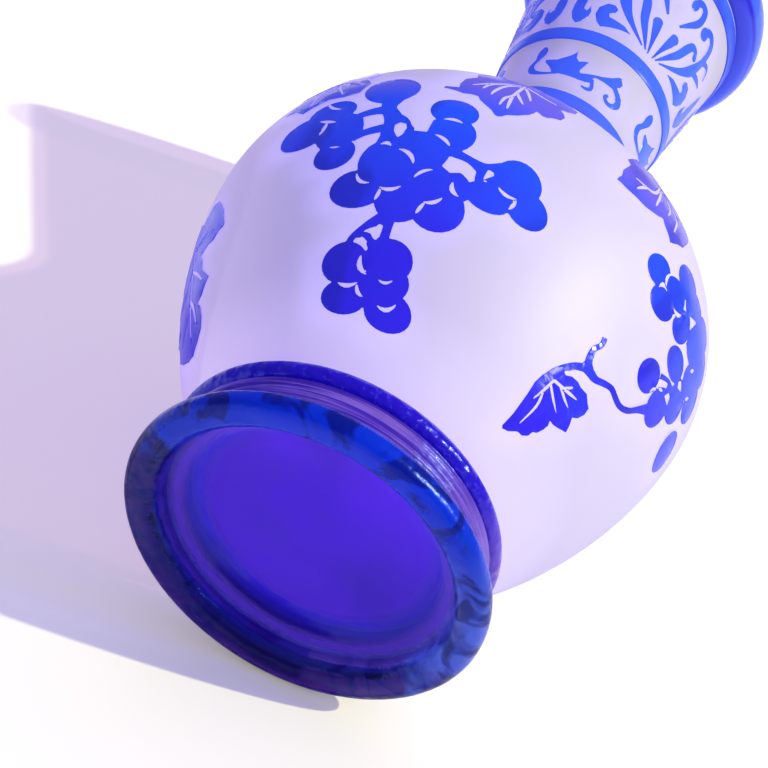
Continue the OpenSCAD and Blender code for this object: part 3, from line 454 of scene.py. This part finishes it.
class Shader:
    """The nodes of a material or a world, with short ways to add and link them."""

    def __init__(self, owner, output="ShaderNodeOutputMaterial"):
        self.owner = owner
        self.owner.use_nodes = True
        self.tree = owner.node_tree
        self.tree.nodes.clear()
        self.output = self.add(output)

    def add(self, kind, settings=None, **inputs):
        """Add a node. Its inputs are given by their names, with _ for a space."""
        node = self.tree.nodes.new(kind)
        for key, value in (settings or {}).items():
            setattr(node, key, value)
        for key, value in inputs.items():
            self.feed(node, key.replace("_", " "), value)
        return node

    def feed(self, node, key, value):
        """Link a socket to an input, or set the input itself."""
        socket = node.inputs[key]
        if isinstance(value, bpy.types.NodeSocket):
            self.tree.links.new(value, socket)
        elif socket.type == "RGBA" and len(value) == 3:
            socket.default_value = (*value, 1)
        else:
            socket.default_value = value

    def feed_all(self, node, *values):
        """Feed a node's inputs in order."""
        for index, value in enumerate(values):
            self.feed(node, index, value)
        return node

    def coords(self):
        return self.add("ShaderNodeTexCoord").outputs["Object"]

    def place(self):
        """Object coordinates, apart as X, Y and Z."""
        return self.add("ShaderNodeSeparateXYZ", Vector=self.coords()).outputs

    def drawn_out(self, across, along):
        """Object coordinates scaled across and along the axis, for marks that are drawn out."""
        scale = (across, across, along)
        return self.add("ShaderNodeMapping", Vector=self.coords(), Scale=scale).outputs["Vector"]

    def noise(self, scale, detail=2.0, where=None, distortion=0.0):
        return self.add(
            "ShaderNodeTexNoise",
            Vector=where or self.coords(),
            Scale=scale,
            Detail=detail,
            Distortion=distortion,
        ).outputs["Fac"]

    def spread(self, value, low, high, to_low=0.0, to_high=1.0):
        """Map the range from low to high onto another one, and cut off what lies outside it."""
        node = self.add("ShaderNodeMapRange")
        return self.feed_all(node, value, low, high, to_low, to_high).outputs["Result"]

    def math(self, operation, *values):
        node = self.add("ShaderNodeMath", {"operation": operation})
        return self.feed_all(node, *values).outputs["Value"]

    def mix_colour(self, factor, first, second):
        """Mix two colours. The node keeps its colour sockets after those for numbers and vectors."""
        node = self.add("ShaderNodeMix", {"data_type": "RGBA"})
        for index, value in ((0, factor), (6, first), (7, second)):
            self.feed(node, index, value)
        return node.outputs[2]

    def mix(self, factor, first, second):
        return self.feed_all(self.add("ShaderNodeMixShader"), factor, first, second).outputs["Shader"]

    def both(self, first, second):
        return self.feed_all(self.add("ShaderNodeAddShader"), first, second).outputs["Shader"]

    def surface(self, **looks):
        return self.add("ShaderNodeBsdfPrincipled", **looks).outputs["BSDF"]

    def light(self, tint, strength):
        return self.add("ShaderNodeEmission", Color=tint, Strength=strength).outputs["Emission"]

    def background(self, tint, strength):
        return self.add("ShaderNodeBackground", Color=tint, Strength=strength).outputs["Background"]

    def bump(self, height, distance, strength):
        bump = self.add("ShaderNodeBump", Height=height, Distance=distance, Strength=strength)
        return bump.outputs["Normal"]

    def lit_end(self):
        """One at the end of the foot and collar that takes light from the sunlit floor, else nought."""
        towards_sun = (0.0, 0.020)
        off_top = (-0.038, -0.018)
        place = self.place()
        sunward = self.spread(place["X"], *towards_sun)
        return self.math("MULTIPLY", sunward, self.spread(place["Y"], *off_top))

    def lets_lamps_through(self, surface, tint):
        """Light from lamps passes this glass, tinted, so that its shadow is coloured."""
        clear = self.add("ShaderNodeBsdfTransparent", Color=tint).outputs["BSDF"]
        is_shadow = self.add("ShaderNodeLightPath").outputs["Is Shadow Ray"]
        return self.mix(is_shadow, surface, clear)

    def show(self, surface, volume=None):
        self.feed(self.output, "Surface", surface)
        if volume is not None:
            self.feed(self.output, "Volume", volume)
        return self.owner


def darker(tint, level):
    return tuple(channel * level for channel in tint)


def frosted_glass(finish):
    """Etched clear glass: a matt skin over a body that carries light, with a painted glow that is
    strongest near the foot, and a painted blue shadow and glow round the casing.
    """
    foot_side = (0.022, 0.050)
    neck_side = (0.165, 0.185)
    etch_depth = 0.00004
    painted_foot_glow_colour = (0.84, 0.78, 1.0)
    painted_glow_colour = (0.45, 0.40, 1.0)
    shader = Shader(bpy.data.materials.new("vase_frosted"))
    mottle = shader.spread(shader.noise(22.0, 3.0), 0.3, 0.7)
    tint = shader.mix_colour(mottle, darker(finish.frost, 0.97), finish.frost)
    # Painted shadow of the casing, cast through the wall along the sun's slant, with a painted blue glow
    # round it
    painted_shade_mask = shader.add("ShaderNodeAttribute", {"attribute_name": "painted_casing_shade"}).outputs["Fac"]
    painted_shade_and_glow = shader.math("MULTIPLY", painted_shade_mask, 0.40)
    tint = shader.mix_colour(painted_shade_and_glow, tint, finish.painted_shade_tint)
    skin = shader.surface(
        Base_Color=tint,
        Roughness=0.48,
        Specular_IOR_Level=0.5,
        Normal=shader.bump(shader.noise(2600.0, 1.0), etch_depth, 0.5),
    )
    body = shader.add("ShaderNodeBsdfTranslucent", Color=finish.frost_inside).outputs["BSDF"]
    surface = shader.mix(0.42, skin, body)
    height = shader.place()["Z"]
    # Painted glow: emission that is strongest near the foot and less on the neck
    painted_glow_near_foot = shader.spread(height, *foot_side, 0.30, 0.115)
    on_neck = shader.spread(height, *neck_side, 0.0, 0.09)
    painted_foot_glow = shader.light(painted_foot_glow_colour, shader.math("SUBTRACT", painted_glow_near_foot, on_neck))
    painted_halo_glow = shader.light(painted_glow_colour, shader.math("MULTIPLY", painted_shade_and_glow, 0.40))
    surface = shader.both(surface, shader.both(painted_foot_glow, painted_halo_glow))
    return shader.show(shader.lets_lamps_through(surface, (0.58, 0.40, 0.60)))


def base_glass(vase):
    """The frosted glass under the globe as it shows through the foot, with a painted glow for the light
    from inside, fading towards +X and +Y.
    """
    painted_glow_fading = (-0.02, 0.03)
    painted_glow_deep = (0.72, 0.0, 0.80)
    painted_glow_edge = (1.9, 0.10, 0.98)
    shader = Shader(bpy.data.materials.new("vase_base"))
    place = shader.place()
    # Painted glow: emission for the light from inside, brighter at the edge and fading towards +X and +Y
    cloud = shader.spread(shader.noise(34.0), 0.40, 0.60, 0.72, 1.0)
    painted_glow_fade = shader.spread(shader.math("ADD", place["X"], place["Y"]), *painted_glow_fading, 1.0, 0.70)
    at_edge = shader.spread(place["Z"], vase.sizes.clear_floor_z, vase.collar_z)
    surface = shader.surface(
        Base_Color=(0.30, 0.02, 0.70),
        Roughness=0.6,
        Emission_Color=shader.mix_colour(at_edge, painted_glow_deep, painted_glow_edge),
        Emission_Strength=shader.math("MULTIPLY", cloud, painted_glow_fade),
    )
    return shader.show(shader.lets_lamps_through(surface, (0.66, 0.53, 0.74)))


def casing_glass(finish):
    """Polished blue casing: deep low on the globe, bright above, with a pale painted sheen on the
    shoulder, paler on the neck, and dark clouds of painted reflection.
    """
    lower_globe = (0.050, 0.115)
    shoulder = (0.106, 0.121)
    neck_start = (0.175, 0.20)
    ripple_depth = 0.0004
    shader = Shader(bpy.data.materials.new("vase_casing"))
    height = shader.place()["Z"]
    drift = shader.spread(shader.noise(18.0), 0.3, 0.7, -0.3, 0.3)
    level = shader.math("ADD", shader.spread(height, *lower_globe), drift)
    level = shader.add("ShaderNodeClamp", Value=level).outputs["Result"]
    blue = shader.mix_colour(level, finish.casing_deep, finish.casing_bright)
    # Painted sheen on the shoulder
    blue = shader.mix_colour(shader.spread(height, *shoulder), blue, finish.painted_shoulder_sheen)
    on_neck = shader.spread(height, *neck_start)
    blue = shader.mix_colour(on_neck, blue, finish.casing_neck)
    # Painted reflection: dark clouds for the surroundings that the polished casing mirrors
    painted_reflections = shader.noise(34.0, 3.0, shader.drawn_out(1.0, 0.6))
    painted_reflections = shader.spread(painted_reflections, 0.56, 0.64, 0.0, 0.45)
    blue = shader.mix_colour(painted_reflections, blue, darker(finish.casing_deep, 0.35))
    surface = shader.surface(
        Base_Color=blue,
        Roughness=shader.spread(on_neck, 0.0, 1.0, 0.18, 0.24),
        IOR=1.5,
        Specular_IOR_Level=0.35,
        Normal=shader.bump(shader.noise(70.0, 1.0), ripple_depth, 0.35),
        **BLUE_SHEEN_AND_PAINTED_GLOW,
    )
    return shader.show(shader.lets_lamps_through(surface, (0.96, 0.95, 1.0)))


def rim_glass(finish):
    """Thick rolled blue glass with darker lines drawn round the ring."""
    dark_line = (0.03, 0.015, 0.50)
    shader = Shader(bpy.data.materials.new("vase_rim"))
    lines = shader.spread(shader.noise(1.0, 1.0, shader.drawn_out(4.0, 210.0)), 0.50, 0.60)
    surface = shader.surface(
        Base_Color=shader.mix_colour(lines, finish.casing_neck, dark_line),
        Roughness=0.12,
        IOR=1.5,
        Specular_IOR_Level=0.5,
        **BLUE_SHEEN_AND_PAINTED_GLOW,
    )
    return shader.show(shader.lets_lamps_through(surface, (0.80, 0.72, 0.90)))


def cobalt_glass(finish, vase):
    """Solid cobalt glass: azure above and dark on its low side as painted shade, with dark waves of
    painted reflection, painted light at the end that the sunlit floor lights, and a violet waist with
    pale streaks of painted reflection.

    Part of the surface is plain colour, for light that thick glass bends many times before it leaves.
    """
    ring_edge = (0.041, 0.045)
    slope_edge = (0.037, 0.040)
    painted_shade_edge = (-0.012, 0.008)
    wander = 0.016
    waist_edge = 0.001
    ripple_depth = 0.0010
    dark_reflection_blue = (0.04, 0.015, 0.20)
    shader = Shader(bpy.data.materials.new("vase_cobalt"))
    place = shader.place()
    flat = shader.add("ShaderNodeCombineXYZ", X=place["X"], Y=place["Y"]).outputs["Vector"]
    radius = shader.add("ShaderNodeVectorMath", {"operation": "LENGTH"}, Vector=flat).outputs["Value"]
    on_ring = shader.spread(radius, *ring_edge)
    flange_top = vase.sizes.foot_h
    on_waist = shader.spread(place["Z"], flange_top, flange_top + waist_edge)
    # Painted light: the end that takes light from the sunlit floor is brighter
    end = shader.lit_end()
    # Painted reflection: dark waves for the dark surroundings seen in the ring
    painted_dark_reflections = shader.spread(shader.noise(58.0, distortion=1.8), 0.52, 0.62, 0.0, 0.85)
    ripple_strength = shader.spread(on_ring, 0.0, 1.0, 0.08, 0.5)
    ripple = shader.bump(shader.noise(200.0, 3.0), ripple_depth, ripple_strength)

    # Painted shade: the tint is dark on the side that the vase lies on and azure above
    border = shader.spread(shader.noise(60.0, 3.0), 0.35, 0.65, -wander, wander)
    slant = shader.math("SUBTRACT", place["Y"], shader.math("MULTIPLY", place["X"], 0.25))
    painted_shade_side = shader.spread(shader.math("ADD", slant, border), *painted_shade_edge)
    tint = shader.mix_colour(painted_shade_side, (0.20, 0.72, 1.0), (0.56, 0.06, 0.26))
    tint = shader.mix_colour(painted_dark_reflections, tint, dark_reflection_blue)
    tint = shader.mix_colour(on_ring, (0.90, 0.90, 1.0), tint)
    clear = shader.surface(
        Base_Color=tint,
        Roughness=shader.spread(shader.noise(40.0), 0.35, 0.65, 0.0, 0.03),
        IOR=1.45,
        Specular_IOR_Level=0.45,
        Specular_Tint=COBALT_MIRROR,
        Transmission_Weight=1.0,
        Normal=ripple,
    )

    azure = shader.mix_colour(end, (0.0, 0.055, 0.90), (0.14, 0.24, 1.0))
    azure = shader.mix_colour(painted_dark_reflections, azure, (0.0, 0.006, 0.22))
    # Painted reflection: pale streaks along the waist's ridges
    painted_streak_reflections = shader.spread(shader.noise(1.0, 1.0, shader.drawn_out(30.0, 1100.0)), 0.42, 0.70)
    violet = shader.mix_colour(painted_streak_reflections, (0.10, 0.030, 0.55), (0.42, 0.24, 0.90))
    violet = shader.mix_colour(end, violet, (0.34, 0.20, 0.85))
    ring_blue = shader.mix_colour(on_waist, azure, violet)
    plain = shader.surface(
        Base_Color=shader.mix_colour(on_ring, (0.18, 0.03, 0.90), ring_blue),
        Roughness=0.26,
        IOR=1.45,
        Specular_IOR_Level=0.9,
        Specular_Tint=COBALT_MIRROR,
        Normal=ripple,
    )

    flange_share = shader.spread(painted_shade_side, 0.0, 1.0, 0.52, 0.0)
    waist_share = shader.math("MULTIPLY", on_waist, 0.68)
    ring_share = shader.math("MULTIPLY", on_ring, shader.math("MAXIMUM", flange_share, waist_share))
    off_ring = shader.math("SUBTRACT", 1.0, on_ring)
    slope_share = shader.math("MULTIPLY", shader.spread(radius, *slope_edge, 0.0, 0.55), off_ring)
    surface = shader.mix(shader.math("ADD", ring_share, slope_share), clear, plain)
    inside = shader.add(
        "ShaderNodeVolumeAbsorption", Color=finish.cobalt, Density=finish.cobalt_density
    ).outputs["Volume"]
    return shader.show(shader.lets_lamps_through(surface, (0.45, 0.30, 0.60)), inside)


def collar_glass():
    """Dark blue bead, violet towards its lit end, with small marks that break up its highlights."""
    mark_depth = 0.0020
    shader = Shader(bpy.data.materials.new("vase_collar"))
    specks = shader.spread(shader.noise(700.0, 1.0), 0.62, 0.70)
    blue = shader.mix_colour(specks, (0.018, 0.002, 0.56), (0.05, 0.02, 0.72))
    blue = shader.mix_colour(shader.lit_end(), blue, (0.15, 0.07, 0.56))
    surface = shader.surface(
        Base_Color=blue,
        Roughness=0.2,
        IOR=1.5,
        Specular_IOR_Level=0.75,
        Specular_Tint=(0.30, 0.42, 1.0),
        Normal=shader.bump(shader.noise(240.0, 1.5), mark_depth, 0.55),
    )
    return shader.show(shader.lets_lamps_through(surface, (0.5, 0.4, 0.8)))


def floor_material(studio):
    """A pale floor that shows from above only. It looks white and keeps the vase's shadow."""
    shader = Shader(bpy.data.materials.new("studio_floor"))
    paper = shader.spread(shader.noise(3.0), 0.3, 0.7, 0.93, 0.95)
    tint = shader.add("ShaderNodeCombineColor", Red=paper, Green=paper, Blue=paper).outputs["Color"]
    matt = shader.add("ShaderNodeBsdfDiffuse", Color=tint).outputs["BSDF"]
    seen = shader.add("ShaderNodeLightPath").outputs["Is Camera Ray"]
    lift = shader.light((1, 0.97, 0.3), shader.math("MULTIPLY", seen, studio.lift))
    behind = shader.add("ShaderNodeNewGeometry").outputs["Backfacing"]
    clear = shader.add("ShaderNodeBsdfTransparent").outputs["BSDF"]
    return shader.show(shader.mix(behind, shader.both(matt, lift), clear))


# Operators


class VaseOperator:
    """What all the operators share."""

    bl_options = {"REGISTER", "UNDO"}

    def outline(self, context):
        return Outline(context.scene.vase_sizes)

    def finish(self, context):
        return context.scene.vase_finish

    def add_islands(self, context, nodes):
        """Model islands of casing from the solids of those names."""
        for node in nodes:
            piece = casing_piece(node, context.scene.vase_sizes.casing)
            finish_casing(piece, "casing_glass", node, self.finish(context))


class VASE_OT_clear_body(VaseOperator, bpy.types.Operator):
    """Model the hollow frosted globe and neck in one piece"""

    bl_idname = "vase.clear_body"
    bl_label = "Globe and Neck"

    def execute(self, context):
        vase = self.outline(context)
        sizes = vase.sizes
        outer = vase.outer_line()
        lip = [Vector((outer[-1].x - sizes.wall * t, vase.lip_z)) for t in LIP_PLACES]
        points = [Vector((0, sizes.clear_floor_z))] + outer + lip + vase.inner_line()[::-1]
        piece = turned_piece("vase_body", points)
        self.paint_casing_shade_and_glow(piece, context)
        finish_piece(piece, frosted_glass(self.finish(context)), "frosted_glass", "clear_body")
        show_base(piece, vase, vase.collar_z + sizes.collar_h / 2)
        return {"FINISHED"}

    def paint_casing_shade_and_glow(self, piece, context):
        """Store a painted shadow and glow of the casing: how near each point lies to the casing, seen
        along the sun's slant through the wall.
        """
        reach = self.finish(context).painted_shade_reach
        slant_reach = reach * 0.35
        towards = sun_direction(context.scene.vase_studio)
        corners = [
            vertex.co.copy() for node in VINE_NODES + NECK_NODES
            for vertex in frame["nodes"][node].data.vertices
        ]
        tree = KDTree(len(corners))
        for index, corner in enumerate(corners):
            tree.insert(corner, index)
        tree.balance()
        painted_shade_values = piece.data.attributes.new("painted_casing_shade", "FLOAT", "POINT")
        for vertex in piece.data.vertices:
            slant = towards - vertex.normal * towards.dot(vertex.normal)
            distance = tree.find(vertex.co + slant * slant_reach)[2]
            painted_shade_values.data[vertex.index].value = max(0, 1 - distance / reach) ** 2


class VASE_OT_foot(VaseOperator, bpy.types.Operator):
    """Model the solid cobalt foot with its recess, contact ring and ridged waist"""

    bl_idname = "vase.foot"
    bl_label = "Foot"

    def execute(self, context):
        vase = self.outline(context)
        points = self.recess(vase) + self.flange(vase) + self.waist(vase) + self.seat(vase)
        piece = turned_piece("vase_foot", points)
        finish_piece(piece, cobalt_glass(self.finish(context), vase), "foot_glass", "foot")
        return {"FINISHED"}

    def recess(self, vase):
        """The flat disc, the slope round it and the roll down to the contact ring."""
        sizes = vase.sizes
        points = [
            Vector((0, sizes.disc_h)),
            Vector((vase.disc_r / 2, sizes.disc_h)),
            Vector((vase.disc_r - DISC_EDGE, sizes.disc_h)),
            Vector((vase.disc_r + DISC_EDGE, sizes.disc_h - EDGE_DROP)),
            Vector((vase.recess_r - ROLL_EDGE, sizes.recess_h + EDGE_DROP)),
        ]
        for t in steps(14)[::-1]:
            angle = math.pi / 2 * t
            radius = blend(vase.contact_r, vase.recess_r, math.sin(angle))
            points.append(Vector((radius, sizes.recess_h * (1 - math.cos(angle)))))
        return points

    def flange(self, vase):
        """The rounded edge from the contact ring up to the waist."""
        rounding = vase.rounding
        low = (vase.flange_in, rounding)
        high = (vase.flange_in, vase.sizes.foot_h - rounding)
        return arc(low, rounding, rounding, -90, 0, 12) + arc(high, rounding, rounding, 0, 90, 12)

    def waist(self, vase):
        """The cove over the flange and the ridges up to the collar."""
        sizes = vase.sizes
        cove = vase.rounding / 2
        start_z = sizes.foot_h + cove
        ridge_h = (sizes.waist_h - cove) / sizes.ridges
        ridge_steps = 6
        points = arc((vase.waist_r + cove, start_z), cove, cove, 270, 180, 6)
        for i in range(sizes.ridges * ridge_steps):
            t = i / ridge_steps
            depth = sizes.ridge_depth * (1 - math.cos(2 * math.pi * t)) / 2
            points.append(Vector((vase.waist_r - depth, start_z + ridge_h * t)))
        return points + [Vector((vase.waist_r, vase.collar_z))]

    def seat(self, vase):
        """The hollow that the globe sits in, down to its middle."""
        floor_z = vase.sizes.clear_floor_z
        rows = [blend(vase.collar_z, floor_z, t) for t in steps(10)]
        points = [Vector((vase.globe(z) - SEAT_OVERLAP, z)) for z in rows]
        return points + [Vector((0, floor_z + SEAT_OVERLAP))]


class VASE_OT_collar(VaseOperator, bpy.types.Operator):
    """Model the dark bead where the globe starts"""

    bl_idname = "vase.collar"
    bl_label = "Collar"

    def execute(self, context):
        vase = self.outline(context)
        bead = vase.sizes.collar_h / 2
        middle_z = vase.collar_z + bead
        bead_in = vase.globe(middle_z) + vase.sizes.collar_out - bead
        low = vase.collar_z + COLLAR_GAP
        high = vase.collar_z + vase.sizes.collar_h
        rows = [blend(high, low, t) for t in steps(8)]
        inner = [Vector((vase.globe(z) - OVERLAP, z)) for z in rows]
        points = [inner[-1]] + arc((bead_in, middle_z), bead, bead, -90, 90, 16) + inner
        piece = turned_piece("vase_collar", points)
        finish_piece(piece, collar_glass(), "foot_glass", "collar")
        show_base(piece, vase, low + HAIR)
        return {"FINISHED"}


class VASE_OT_rings(VaseOperator, bpy.types.Operator):
    """Model the root ring, the neck band and the flush band under the rim"""

    bl_idname = "vase.rings"
    bl_label = "Rings"

    def execute(self, context):
        vase = self.outline(context)
        sizes = vase.sizes
        outer = vase.outer_line()
        root_z = vase.root_z - sizes.root_ring_h / 2
        band_z = vase.band_z - sizes.neck_band_h / 2
        self.add_ring(context, outer, "neck_root_ring", "casing_glass", root_z, sizes.root_ring_h)
        self.add_ring(context, outer, "neck_band", "casing_glass", band_z, sizes.neck_band_h)
        self.add_ring(context, outer, "rim_band", "rim_glass", vase.rim_band_z, sizes.rim_band_h)
        return {"FINISHED"}

    def add_ring(self, context, outer, node, slot, low, height):
        """Lay a thin ring of casing round the clear glass, with its edges softened."""
        casing = context.scene.vase_sizes.casing
        proud = Vector((casing, 0))
        soft = proud * RING_SOFTNESS
        rows = [blend(low, low + height, t) for t in steps(8)]
        glass = [Vector((radius_at(outer, z), z)) for z in rows]
        outside = [point + proud for point in glass]
        outside[0] -= soft
        outside[-1] -= soft
        inside = [point - soft for point in glass]
        piece = turned_piece(node + "_glass", [inside[0]] + outside + inside[::-1])
        finish_casing(piece, slot, node, self.finish(context))


class VASE_OT_rim_ring(VaseOperator, bpy.types.Operator):
    """Model the thick rolled ring at the rim"""

    bl_idname = "vase.rim_ring"
    bl_label = "Rim Ring"

    def execute(self, context):
        vase = self.outline(context)
        half = vase.sizes.rim_ring_h / 2
        centre = (vase.neck(vase.rim_ring_z), vase.rim_ring_z + half)
        points = arc(centre, vase.sizes.rim_out, half, -90, 90, 28)
        rows = [blend(vase.lip_z - HAIR, vase.rim_ring_z + HAIR, t) for t in steps(8)]
        points += [Vector((vase.neck(z) - OVERLAP, z)) for z in rows]
        points.append(points[0])
        piece = turned_piece("vase_rim_ring", points)
        finish_piece(piece, rim_glass(self.finish(context)), "rim_glass", "rim_ring")
        return {"FINISHED"}


class VASE_OT_vine(VaseOperator, bpy.types.Operator):
    """Model the islands of casing on the globe: grapes, stems and leaves"""

    bl_idname = "vase.vine"
    bl_label = "Vine"

    def execute(self, context):
        self.add_islands(context, VINE_NODES)
        return {"FINISHED"}


class VASE_OT_neck_ornaments(VaseOperator, bpy.types.Operator):
    """Model the islands of casing on the neck: sprigs, palmettes and scrolls"""

    bl_idname = "vase.neck_ornaments"
    bl_label = "Neck Ornaments"

    def execute(self, context):
        self.add_islands(context, NECK_NODES)
        return {"FINISHED"}


class VASE_OT_stage(VaseOperator, bpy.types.Operator):
    """Add the floor, the lights and the camera"""

    bl_idname = "vase.stage"
    bl_label = "Stage"

    def execute(self, context):
        studio = context.scene.vase_studio
        self.add_floor(studio)
        self.add_sun(studio)
        self.add_window(studio)
        self.add_sky(context, studio)
        self.add_camera(context)
        return {"FINISHED"}

    def add_floor(self, studio):
        up = floor_up(studio)
        place = -up * studio.floor_distance
        deselect()
        bpy.ops.mesh.primitive_plane_add(size=studio.floor_side, location=place, rotation=facing(up))
        floor = bpy.context.active_object
        floor.name = "studio_floor"
        floor.data.materials.append(floor_material(studio))

    def add_lamp(self, studio, kind, name, distance):
        """Add a lamp that shines on the vase from the sun's side."""
        towards = sun_direction(studio)
        deselect()
        bpy.ops.object.light_add(type=kind, location=towards * distance, rotation=facing(towards))
        lamp = bpy.context.active_object
        lamp.name = name
        return lamp

    def add_sun(self, studio):
        sun = self.add_lamp(studio, "SUN", "studio_sun", studio.sun_distance)
        sun.data.energy = studio.sun_strength
        sun.data.color = studio.sun_colour
        sun.data.angle = studio.sun_width

    def add_window(self, studio):
        """Add a soft window on the sun's side, which shows only as highlights on polished glass."""
        window = self.add_lamp(studio, "AREA", "studio_window", studio.window_distance)
        window.data.shape = "SQUARE"
        window.data.size = studio.window_side
        window.data.energy = studio.window_power
        window.visible_diffuse = False

    def add_sky(self, context, studio):
        """Light the vase from all round. Glass mirrors a dimmer room, and the camera sees white."""
        world = bpy.data.worlds.new("studio_sky")
        context.scene.world = world
        shader = Shader(world, "ShaderNodeOutputWorld")
        path = shader.add("ShaderNodeLightPath").outputs
        in_glass = shader.math("MAXIMUM", path["Is Glossy Ray"], path["Is Transmission Ray"])
        sky = shader.background(studio.sky_colour, self.slanting_level(shader, studio))
        room = shader.background(studio.sky_colour, studio.room_strength)
        white = shader.background((1, 1, 1), 1)
        lit = shader.mix(in_glass, sky, room)
        shader.show(shader.mix(path["Is Camera Ray"], lit, white))

    def slanting_level(self, shader, studio):
        """Strength of the sky: brighter overhead and on the vase's +X side, dimmer on the other side."""
        up = floor_up(studio)
        sideways = Vector((0, 0, 1)).cross(up).normalized()
        brighter = up * studio.sky_overhead + sideways * studio.sky_sideways
        direction = shader.add("ShaderNodeTexCoord").outputs["Generated"]
        slope = shader.add("ShaderNodeVectorMath", {"operation": "DOT_PRODUCT"})
        slope = shader.feed_all(slope, direction, brighter).outputs["Value"]
        level = studio.sky_strength * studio.sky_level
        return shader.math("MULTIPLY_ADD", slope, studio.sky_strength, level)

    def add_camera(self, context):
        picture_px = 768
        focal_px = 2300.0
        centre_px = Vector((382.42, 378.22))
        sensor_mm = 36.0
        nearest = 0.01
        place = Vector((0.0, -0.4847418, -0.3859871))
        right = Vector((0.84773741, -0.35806068, 0.39132319)).normalized()
        forward = Vector((-0.01105327, 0.72568069, 0.68794285)).normalized()
        above = right.cross(forward).normalized()
        deselect()
        bpy.ops.object.camera_add()
        camera = bpy.context.active_object
        camera.name = "studio_camera"
        matrix = Matrix((right, above, -forward)).transposed().to_4x4()
        matrix.translation = place
        camera.matrix_world = matrix
        camera.data.sensor_width = sensor_mm
        camera.data.lens = focal_px / picture_px * sensor_mm
        camera.data.shift_x = (picture_px / 2 - centre_px.x) / picture_px
        camera.data.shift_y = (centre_px.y - picture_px / 2) / picture_px
        camera.data.clip_start = nearest
        context.scene.camera = camera


def facing(direction):
    """Turn of an object whose +Z points in a direction."""
    return direction.to_track_quat("Z", "Y").to_euler()


def floor_up(studio):
    """The floor's upward direction: away from the side that the vase lies on."""
    azimuth = studio.contact_azimuth
    side = Vector((math.sin(azimuth), -math.cos(azimuth), 0))
    return Vector((0, 0, math.sin(studio.lean))) - side * math.cos(studio.lean)


def sun_direction(studio):
    """Direction from the vase to the sun, turned on the floor and raised over it."""
    up = floor_up(studio)
    along = (Vector((0, 0, 1)) - up * up.z).normalized()
    across = up.cross(along)
    level = along * math.cos(studio.sun_turn) + across * math.sin(studio.sun_turn)
    return level * math.cos(studio.sun_rise) + up * math.sin(studio.sun_rise)


class VASE_PT_panel(bpy.types.Panel):
    bl_idname = "VASE_PT_panel"
    bl_label = "Glass Vase"
    bl_space_type = "VIEW_3D"
    bl_region_type = "UI"
    bl_category = "Vase"

    def draw(self, context):
        for operator in OPERATORS:
            self.layout.operator(operator.bl_idname)
        for name in GROUPS:
            group = getattr(context.scene, name)
            box = self.layout.box()
            for value in group.__annotations__:
                box.prop(group, value)


OPERATORS = [
    VASE_OT_stage,
    VASE_OT_clear_body,
    VASE_OT_foot,
    VASE_OT_collar,
    VASE_OT_rings,
    VASE_OT_rim_ring,
    VASE_OT_vine,
    VASE_OT_neck_ornaments,
]
GROUPS = {"vase_sizes": VaseSizes, "vase_finish": VaseFinish, "vase_studio": VaseStudio}


def register():
    for kind in [*GROUPS.values(), *OPERATORS, VASE_PT_panel]:
        bpy.utils.register_class(kind)
    for name, kind in GROUPS.items():
        setattr(bpy.types.Scene, name, bpy.props.PointerProperty(type=kind))


def unregister():
    for name in GROUPS:
        delattr(bpy.types.Scene, name)
    for kind in reversed([*GROUPS.values(), *OPERATORS, VASE_PT_panel]):
        bpy.utils.unregister_class(kind)


def main():
    register()
    bpy.context.scene.view_settings.view_transform = "Standard"
    bpy.ops.vase.stage()
    bpy.ops.vase.clear_body()
    bpy.ops.vase.foot()
    bpy.ops.vase.collar()
    bpy.ops.vase.rings()
    bpy.ops.vase.rim_ring()
    bpy.ops.vase.vine()
    bpy.ops.vase.neck_ornaments()
    deselect()


if __name__ == "__main__":
    main()
